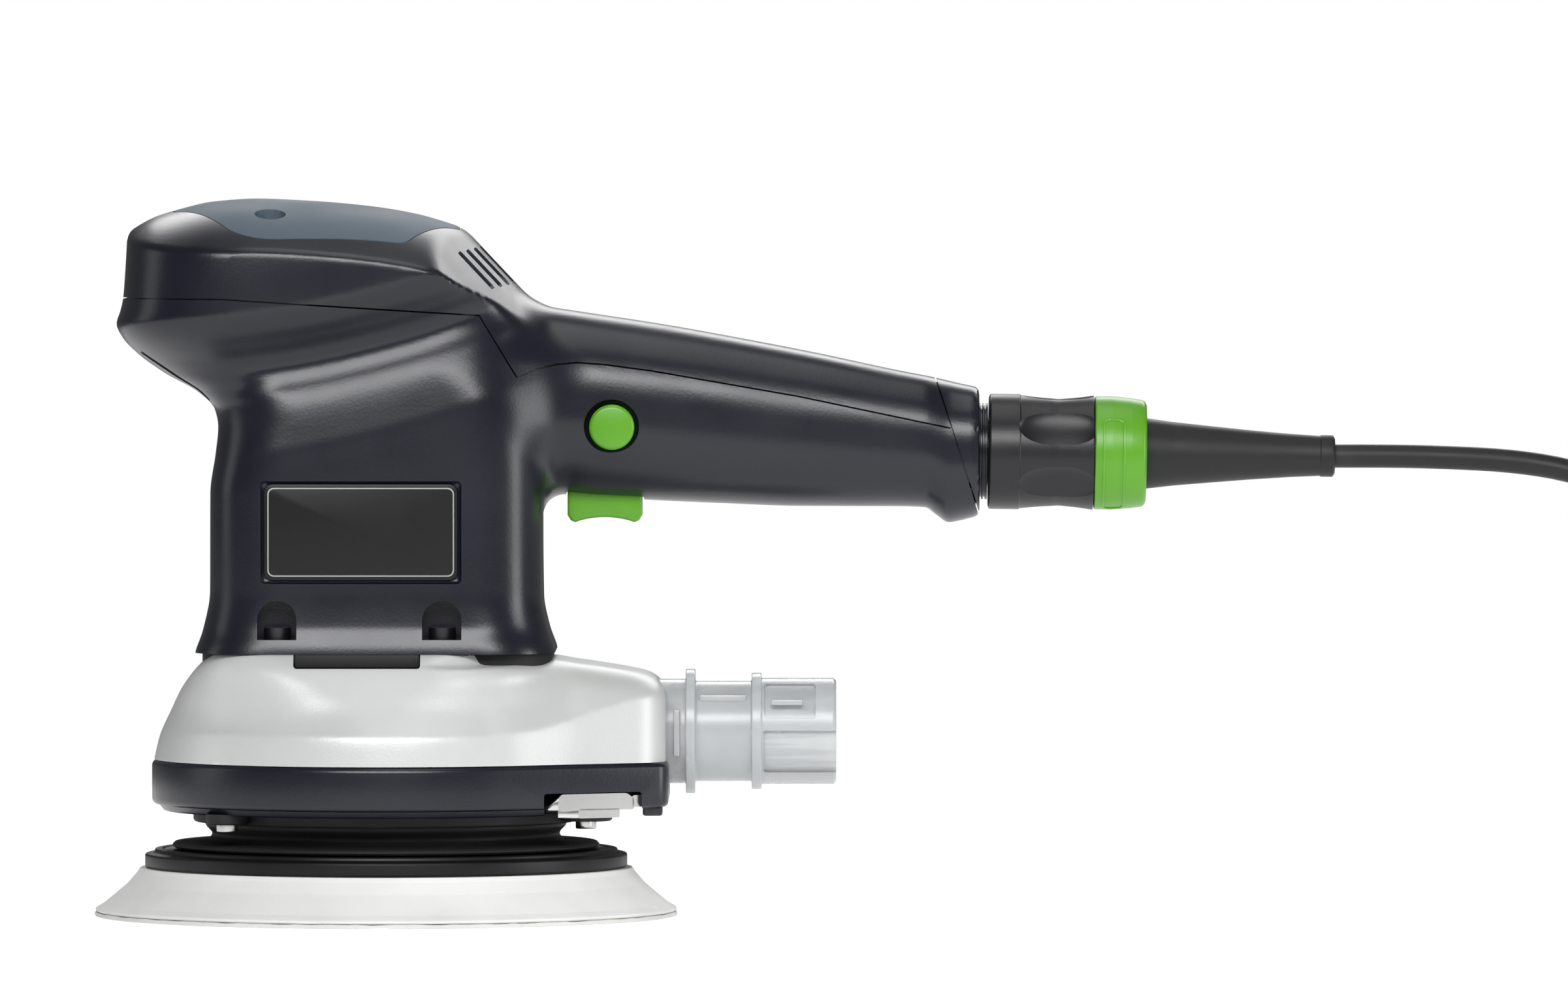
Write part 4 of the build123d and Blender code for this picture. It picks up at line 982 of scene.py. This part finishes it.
dish = lathe("dish", [(0, 21.2, 0), (6.7, 21.2, 1.2), (7.5, 26.0, 0), (7.5, 40, 0), (0, 40, 0)], 64, "-Y")
cut(lower, move(hole, *BUTTON), move(dish, *BUTTON))
DIAL = (100.0, 12.5, 125.0)
cut(lower, rounded_block("dial slot", (89.6, 12, 122), (110.4, 30, 128), 1.0))
CHIN = (Vector((-64.6, 144.8)), Vector((-46.8, 132.8)))  # ends of the chin's line, x and z
chin_middle = (CHIN[0] + CHIN[1]) / 2
along = CHIN[1] - CHIN[0]
chin_turn = -math.atan2(along.y, along.x)
for y in (-20, -12, -4, 4, 12, 20):
    slot = rounded_block("intake", (-along.length / 2, -1.3, -7), (along.length / 2, 1.3, 7), 0.5, 2)
    cut(lower, move(slot, chin_middle.x + 0.006 * y * y, y, chin_middle.y, chin_turn, "Y"))
lower = join("motor_housing_skin", [lower] + liners)
finished(lower, "dark_shell", "housing", "motor_housing")


def on_lead(obj):
    """Carries a piece built along X from the inlet's mouth to the connector's axis."""
    obj.data.transform(Matrix.Translation([v * MM for v in INLET]) @ Matrix.Rotation(TILT, 4, "Y"))
    return obj


NECK_R, GROOVE_R = 12.35, 11.7
neck_outline = [(8.9, -12, 0), (NECK_R, -12, 0)]
for x0, x1 in ((-1.9, -1.4), (-0.95, -0.5)):
    neck_outline += [(NECK_R, x0, 0.1), (GROOVE_R, x0, 0.1), (GROOVE_R, x1, 0.1), (NECK_R, x1, 0.1)]
neck_outline += [(NECK_R, 0, 0.2), (8.9, 0, 0)]
neck = on_lead(lathe("neck", neck_outline, 96, "X"))
cut(inlet_wedge, on_lead(cylinder("bore", 9, -30, 9, 64, "X")))
inlet = join("inlet_collar", [inlet_wedge, neck])
finished(inlet, "dark_shell", "housing", "inlet_socket")

PORT_Z = 47.4
PORT_HOLE_R = 13.5
HOOD_WALL = 2.4
HOOD_LOW, HOOD_HIGH = (-62, -62, HOOD_BOTTOM - 4.5), (75, 62, 71)


def port_hole():
    """The round way through the hood and the base ring that the port sits in."""
    return move(cylinder("port hole", PORT_HOLE_R, 55, 80, 64, "X"), z=PORT_Z)


hood_skin = iso_object("dust_hood_skin", hood, HOOD_LOW, HOOD_HIGH, GRID)
hood_room = iso_object("room", lambda x, y, z: HOOD(x, y, z) + HOOD_WALL, HOOD_LOW, HOOD_HIGH, INNER_GRID)
cut(hood_skin, hood_room, below(HOOD_BOTTOM), cylinder("eye", 17, 55, 75), port_hole())
for side in (-1, 1):
    near, far = beside(side, 34, 60)
    cut(hood_skin, rounded_block("notch", (-22.5, near, 64.8), (9.8, far, 75), 0.8))
finished(hood_skin, "silver_hood", "housing", "dust_hood")


# ---------------------------------------------------------------- base ring, gasket and the plate
RING_BOTTOM, RING_TOP = 28.9, 40.3


def ring_outline(inset=0.0):
    """The ring's plan: a circle whose tangents run to the port's narrower rear face."""
    radius, half, rear = 60.1 - inset, 27.5 - inset, 72.8 - inset
    start = math.atan2(half, rear) + math.acos(radius / math.hypot(rear, half))
    arc = [(radius * math.cos(a), radius * math.sin(a)) for a in np.linspace(start, 2 * math.pi - start, 120)]
    leave_x, leave_y = arc[0]
    corners = [(rear, -half, 5), (rear, half, 5), (leave_x, leave_y, 0), (leave_x, -leave_y, 0)]
    return arc + [p for p in rounded_outline(corners, 6) if p[0] > leave_x + 1]


def plate_notch(bevel):
    return rounded_block("notch", (41.3, -60, 20), (66.0, -22, 33.1), bevel)


EYE_R = 46.0
UNDER_TOP = RING_BOTTOM + 0.3
base = prism("base_ring_skin", ring_outline(), RING_BOTTOM, RING_TOP, "Z")
bevel_edges(base, 1.5, 60, 4)
room = prism("room", ring_outline(3.2), RING_BOTTOM + 3, RING_TOP + 1, "Z")
cut(base, room, cylinder("eye", EYE_R, 20, 35, 128), plate_notch(0.8), port_hole())
foot = rounded_block("foot", (66.2, -27, 26.7), (71.3, -20, 30.5), 0.7)
under = lathe("under", [(46.2, 27.2, 0.3), (57.0, 27.2, 1.2), (58.6, UNDER_TOP, 0), (46.2, UNDER_TOP, 0)])
cut(under, plate_notch(0.2))
base = join("base_ring_skin", [base, foot, under])
finished(base, "dark_shell", "housing", "base_ring")

GASKET_CORNERS = [(-46.4, -37.6, 17), (43.0, -37.6, 17), (43.0, 37.6, 17), (-46.4, 37.6, 17)]
GASKET_TOP = 68.34
gasket = prism("hood_gasket_skin", rounded_outline(GASKET_CORNERS, 12), 64.9, GASKET_TOP, "Z")
bevel_edges(gasket, 0.4, 60, 2)
tongues = []
for side in (-1, 1):
    near, far = beside(side, 33, 41.6)
    tongues.append(rounded_block("tongue", (-22.3, near, 64.85), (9.6, far, GASKET_TOP), 0.5, 2))
gasket = join("hood_gasket_skin", [gasket] + tongues)
finished(gasket, "black_rubber", "housing", "hood_gasket")

CLAMP_SCREW = (51.7, -30)
PLATE_LINE = [(42.1, 28.6), (42.1, 29.6), (45.8, 32.8), (62.2, 32.8), (64.1, 31.4), (64.1, 28.6)]
plate = bevel_edges(prism("plate", PLATE_LINE, -42.5, -23.0), 0.5, 30, 2)
flange = rounded_block("flange", (44.6, -39.5, 26.6), (60.4, -23.0, 29.0), 0.4)
tab = rounded_block("tab", (63.6, -41.6, 29.2), (66.3, -25.0, 32.2), 0.6)
for piece in (plate, flange, tab):
    combine(piece, prism("inside the ring", ring_outline(0.8), 20, 40, "Z"), "INTERSECT")
plate = join("clamp_plate_skin", [plate, flange, tab])
finished(plate, "bright_steel", "housing", "clamp_plate", angle=25)
boss = lathe("clamp_boss", [(1.8, 25.6, 0.3), (6.8, 25.6, 0.8), (6.8, 29.4, 0), (1.8, 29.4, 0)], 48)
finished(move(boss, *CLAMP_SCREW), "black_rubber", "housing")


def sixfold(radius):
    """Six points round the axis, evenly spaced."""
    return [(radius * math.cos(math.pi / 3 * i), radius * math.sin(math.pi / 3 * i)) for i in range(6)]


def cap_screw(name, radius, top, bottom, hex_size=0.5, depth=1.4):
    """A socket-head screw's head, its socket opening downwards at bottom."""
    head = lathe(name, [(0, bottom, 0), (radius, bottom, 0.35), (radius, top, 0.1), (0, top, 0)], 48)
    size = radius * hex_size
    return cut(head, prism("socket", sixfold(size), bottom - 1, bottom + depth, "Z"))


screw = move(cap_screw("clamp_screw_head", 2.1, 26.6, 24.0), *CLAMP_SCREW)
finished(screw, "bright_steel", "housing", "clamp_plate_screw")

# ---------------------------------------------------------------- retaining ring, cuff
SCREW_CIRCLE = 54.0
SCREW_PLACES = [(SCREW_CIRCLE * math.cos(math.radians(a)), SCREW_CIRCLE * math.sin(math.radians(a)))
                for a in (103, 223, 343)]
keeper = lathe("keeper", [(42.0, 24.4, 0.5), (49.5, 24.4, 0.8), (49.5, 27.25, 0), (42.0, 27.25, 0)])
ears = [move(lathe("ear", [(1.9, 24.9, 0.2), (5.4, 24.9, 0.7), (5.4, 27.6, 0), (1.9, 27.6, 0)], 48), x, y)
        for x, y in SCREW_PLACES]
keeper = join("retaining_ring_skin", [keeper] + ears)
finished(keeper, "black_rubber", "housing", "retaining_ring")
heads = [move(cap_screw("head", 2.7, 26.0, 23.0), x, y) for x, y in SCREW_PLACES]
finished(join("retaining_screw_heads", heads), "bright_steel", "housing", "retaining_screws")

cuff = lathe("brake_cuff_skin", [
    (42.0, 27.2, 0), (46.4, 27.2, 0.4), (46.4, 23.4, 1.4), (44.2, 21.2, 1.6), (46.0, 19.6, 1.2),
    (54.2, 19.2, 0.4), (55.0, 18.4, 0.4), (54.4, 17.75, 0.2), (41.0, 17.75, 0.3), (41.0, 19.4, 0.6),
    (40.2, 24.0, 0.8),
], 160)
finished(cuff, "black_rubber", "housing", "brake_cuff")

# ---------------------------------------------------------------- pad
PAD_R = 75.0
HOOK_TOP = 1.15
HOLE_CIRCLE = 40


def with_dust_holes(obj, low, high, radius=5.0):
    for x, y in sixfold(HOLE_CIRCLE):
        cut(obj, move(cylinder("hole", radius, low, high, 40), x, y))
    return obj


def on_pad(obj):
    return move(obj, y=ORBIT)


foam = lathe("pad_foam_skin", [
    (11.0, HOOK_TOP, 0), (74.4, HOOK_TOP, 0.5), (74.9, 1.9, 0.5), (72.6, 3.2, 3), (66.6, 8.2, 6),
    (64.0, 11.2, 3), (63.3, 12.4, 0.4), (11.0, 12.4, 0),
], 200)
finished(on_pad(with_dust_holes(foam, 0, 13)), "white_foam", "pad", "pad_foam")


def hook_layer():
    """The hook-faced disc, its rim very slightly wavy where it was cut."""
    outline = [(9.0, 0.0, 0.15), (PAD_R, 0.0, 0.4), (PAD_R, HOOK_TOP, 0.3), (9.0, HOOK_TOP, 0.1)]
    disc = lathe("hook_face_skin", outline, 240)
    for v in disc.data.vertices:
        r = math.hypot(v.co.x, v.co.y)
        if r > 0.06:
            turn = math.atan2(v.co.y, v.co.x)
            wave = 0.12 * math.sin(17 * turn) + 0.08 * math.sin(41 * turn + 1.0)
            shrink = 1 - (0.12 + wave * 0.5) * MM / r
            v.co.x *= shrink
            v.co.y *= shrink
            if v.co.z > 0.0005:
                v.co.z -= abs(wave) * MM
    return with_dust_holes(disc, -1, 2)


finished(on_pad(hook_layer()), "hook_fabric", "pad", "hook_face")

pad_top = lathe("pad_plate_skin", [
    (4.2, 9.0, 0.2), (11.0, 9.0, 0.2), (11.0, 12.4, 0), (61.4, 12.4, 0.3), (62.0, 13.0, 0.3),
    (62.0, 16.0, 0.6), (59.6, 16.4, 0.5), (59.4, 17.3, 0.4), (57.6, 17.4, 0.2), (57.2, 17.0, 0.3),
    (30.0, 17.0, 0.5), (28.0, 17.4, 0.3), (11.0, 17.4, 1.2), (11.0, 24.0, 0.4), (4.2, 24.0, 0.2),
], 200)
finished(on_pad(with_dust_holes(pad_top, 10, 20, 5.6)), "plate_black", "pad", "pad_plate")

# ---------------------------------------------------------------- dust port
PORT_BORE = 11.4
port = lathe("dust_port_skin", [
    (PORT_BORE, 67.0, 0), (13.4, 67.0, 0), (13.4, 77.1, 0.3), (16.0, 77.1, 0.3), (16.0, 79.5, 0.3),
    (12.85, 79.5, 0.5), (12.85, 94.0, 0.4), (14.95, 94.0, 0.3), (14.95, 96.5, 0.3), (13.65, 96.5, 0.3),
    (13.65, 115.0, 0.5), (12.9, 115.7, 0.3), (PORT_BORE, 115.7, 0.4),
], 128, "X")
windows = []
for y0, y1 in ((-20, -5), (5, 20)):
    for x0, x1, z0, z1 in (
        (97.2, 110.4, 3.7, 12.3), (97.0, 118.0, -10.3, 0.6), (98.3, 108.7, -17.0, -13.2),
    ):
        windows.append(rounded_block("window", (x0, y0, z0), (x1, y1, z1), 0.7))
ring_cut = lathe("ring", [(12.45, 96.9, 0), (20, 96.9, 0), (20, 118.0, 0), (12.45, 118.0, 0)], 128, "X")
for window in windows:
    cut(port, combine(window, ring_cut, "INTERSECT", keep=True))
remove(ring_cut)
ribs = []
for side in (-1, 1):
    for x0, x1, inner, outer, z0, z1, bevel in (
        (80.7, 92.7, 7.0, 10.2, 8.0, 9.5, 0.3), (99.0, 107.0, 9.0, 12.9, 7.1, 8.4, 0.3),
        (74.0, 75.6, 8.0, 14.6, -6.0, 6.0, 0.4),
    ):
        near, far = beside(side, inner, outer)
        ribs.append(rounded_block("rib", (x0, near, z0), (x1, far, z1), bevel, 2))
port = join("dust_port_skin", [port] + ribs)
finished(move(port, z=PORT_Z), "clear_port", "housing", "dust_port")

# ---------------------------------------------------------------- plates in the housing
for side, word, nodes in ((-1, "near", ["name_plates"]), (1, "far", [])):
    near, far = beside(side, PLATE_Y, PLATE_FACE_Y)
    plate = prism("name_plate_" + word, rectangle(-30.1, 87.2, 19.2, 111.6, 2.2), near, far)
    near, far = beside(side, PLATE_FACE_Y - 0.02, PLATE_FACE_Y + 0.03)
    border = prism("plate_border_" + word, rectangle(-29.2, 88.1, 18.3, 110.7, 1.6), near, far)
    cut(border, prism("inner", rectangle(-28.9, 88.4, 18.0, 110.4, 1.4), near - 1, far + 1))
    finished(bevel_edges(plate, 0.2, 60, 2), "plate_black", "housing", *nodes)
    finished(border, "clear_port", "housing")


# ---------------------------------------------------------------- connector
sleeve = lathe("locking_sleeve_skin", [
    (10.0, 0.3, 0), (14.0, 0.3, 0), (14.8, 0.6, 0.6), (14.8, 8.2, 0.2), (14.55, 8.4, 0.2), (14.3, 16.0, 6),
    (14.1, 18.2, 5), (14.3, 20.5, 6), (14.7, 26.0, 1), (14.75, 27.3, 0.3), (10.0, 27.3, 0),
], 144, "X")
for i in range(6):
    bm = bmesh.new()
    bmesh.ops.create_uvsphere(bm, u_segments=40, v_segments=24, radius=1.0)
    for v in bm.verts:
        v.co = Vector((v.co.x * 10.6 + 18.2, v.co.y * 6.3, v.co.z * 2.6 + 15.25)) * MM
    cut(sleeve, move(from_bmesh("finger", bm), turn=math.radians(60 * i + 3), axis="X"))
finished(on_lead(sleeve), "sleeve_black", "lock_sleeve", "locking_sleeve", angle=28)

collar = lathe("sleeve_ring_skin", [
    (10.0, 27.5, 0), (14.5, 27.5, 0.5), (14.55, 32.0, 4), (14.1, 37.0, 4), (13.6, 40.2, 1.2),
    (12.4, 40.8, 0.7), (9.6, 40.8, 0.3), (9.6, 38.8, 0), (10.0, 38.8, 0),
], 144, "X")


FRAME_R = 14.3  # mean radius of the ring under the frames


def ring_radius(x):
    return float(np.interp(x, [27.5, 32, 37, 40], [14.5, 14.5, 14.1, 13.65]))


def dense(line, longest=0.8):
    """The same closed line with more points, for it to be wrapped round the ring."""
    points = []
    for (a, b), (c, d) in zip(line, line[1:] + line[:1]):
        n = max(1, int(math.hypot(c - a, d - b) / longest))
        points += [(a + (c - a) * k / n, b + (d - b) * k / n) for k in range(n)]
    return points


def ring_frame(middle, half_angle):
    """The raised frame round a blank field on the ring: a rounded rectangle wrapped round it."""
    wide = math.radians(half_angle) * FRAME_R
    corners = [(29.5, -wide, 1.2), (35.3, -wide, 1.2), (35.3, wide, 1.2), (29.5, wide, 1.2)]
    outer = dense(rounded_outline(corners, 5))
    centre = 32.4
    bm = bmesh.new()
    rows = []
    for share, lift in ((0.0, -0.3), (0.0, 0.22), (0.15, 0.32), (0.45, 0.32), (0.6, 0.22), (0.6, -0.3)):
        row = []
        for a, b in outer:
            from_centre = a - centre
            inward_x = -math.copysign(share, from_centre) if abs(from_centre) > 1.6 else 0.0
            inward_b = -math.copysign(share, b) if abs(b) > wide - 1.3 else 0.0
            angle = middle_angle(middle) + (b + inward_b) / FRAME_R
            r = ring_radius(a) + lift
            place = Vector((a + inward_x, r * math.cos(angle), r * math.sin(angle))) * MM
            row.append(bm.verts.new(place))
        rows.append(row)
    for low, high in zip(rows, rows[1:] + rows[:1]):
        for i in range(len(low)):
            j = (i + 1) % len(low)
            bm.faces.new((low[i], low[j], high[j], high[i]))
    return from_bmesh("frame", bm)


def middle_angle(degrees):
    """The angle round the connector whose 0 points to -Y, growing upwards."""
    return math.pi - math.radians(degrees)


frames = [ring_frame(-19, 57), ring_frame(161, 57)]
collar = join("sleeve_ring_skin", [collar] + frames)
finished(on_lead(collar), "signal_green", "lock_sleeve", "sleeve_ring")

boot = lathe("cable_boot_skin", [
    (0, 35.9, 0), (9.1, 35.9, 0), (9.1, 40.5, 2), (8.15, 48.0, 8), (7.25, 57.5, 12), (6.3, 68.0, 12),
    (5.55, 78.0, 9), (5.15, 85.4, 0.6), (5.35, 85.8, 0.2), (5.35, 88.8, 0.5), (4.4, BOOT_END, 0.3),
    (0, BOOT_END, 0),
], 96, "X")
finished(on_lead(boot), "cable_black", "mains_lead", "cable_boot")

# ---------------------------------------------------------------- trigger, lock button, dial
front, rear = TRIGGER_X
arch = [(front + 2.0 + t * 15.1, 101.25 + 1.3 * math.sin(math.pi * t) ** 0.8) for t in np.linspace(0, 1, 13)]
outline = [(front, 114.6), (front, 103.1), (front + 0.9, 101.7)] + arch
outline += [(rear - 0.8, 101.7), (rear, 103.0), (rear, 114.6)]
lever = bevel_edges(prism("trigger_skin", outline[::-1], -8.0, 8.0), 0.7, 50, 3)
lug = rounded_block("lug", (front - 1.4, -9.4, 112.8), (rear + 1.4, 9.4, 114.9), 0.3)
finished(join("trigger_skin", [lever, lug]), "signal_green", "trigger", "trigger", angle=40)

button = lathe("lock_button_skin", [(0, 12.0, 0), (5.8, 12.0, 0), (5.8, 26.4, 1.2), (0, 26.9, 0)], 72, "-Y")
flange = lathe("flange", [(0, 12.0, 0), (6.6, 12.0, 0.2), (6.6, 14.8, 0.2), (0, 14.8, 0)], 64, "-Y")
button = join("lock_button_skin", [button, flange])
finished(move(button, *BUTTON), "signal_green", "lock_button", "lock_button")

DIAL_STEPS = 144
teeth = []
for i in range(DIAL_STEPS):
    turn = 2 * math.pi * i / DIAL_STEPS
    radius = 11.0 - (0.45 if i % 6 in (0, 1) else 0.0)
    teeth.append((radius * math.cos(turn), radius * math.sin(turn)))
wheel = bevel_edges(prism("speed_dial_skin", teeth, -2.5, 2.5, "Z"), 0.35, 60, 2)
hub = lathe("hub", [(0, 2.4, 0), (1.5, 2.4, 0), (1.5, 4.4, 0.3), (0, 4.4, 0)], 32)
dial = move(join("speed_dial_skin", [wheel, hub]), *DIAL)
finished(dial, "signal_green", "speed_dial", "speed_dial")

# ---------------------------------------------------------------- CAD nodes that show or lie inside
SLOT_OF = {m["slot"]: MATERIALS[m["slot"]] for m in frame["record"]["materials"]}
for name, node in frame["nodes"].items():
    for i, held in enumerate(node.data.materials):
        node.data.materials[i] = SLOT_OF[held.name.split(".")[0]]
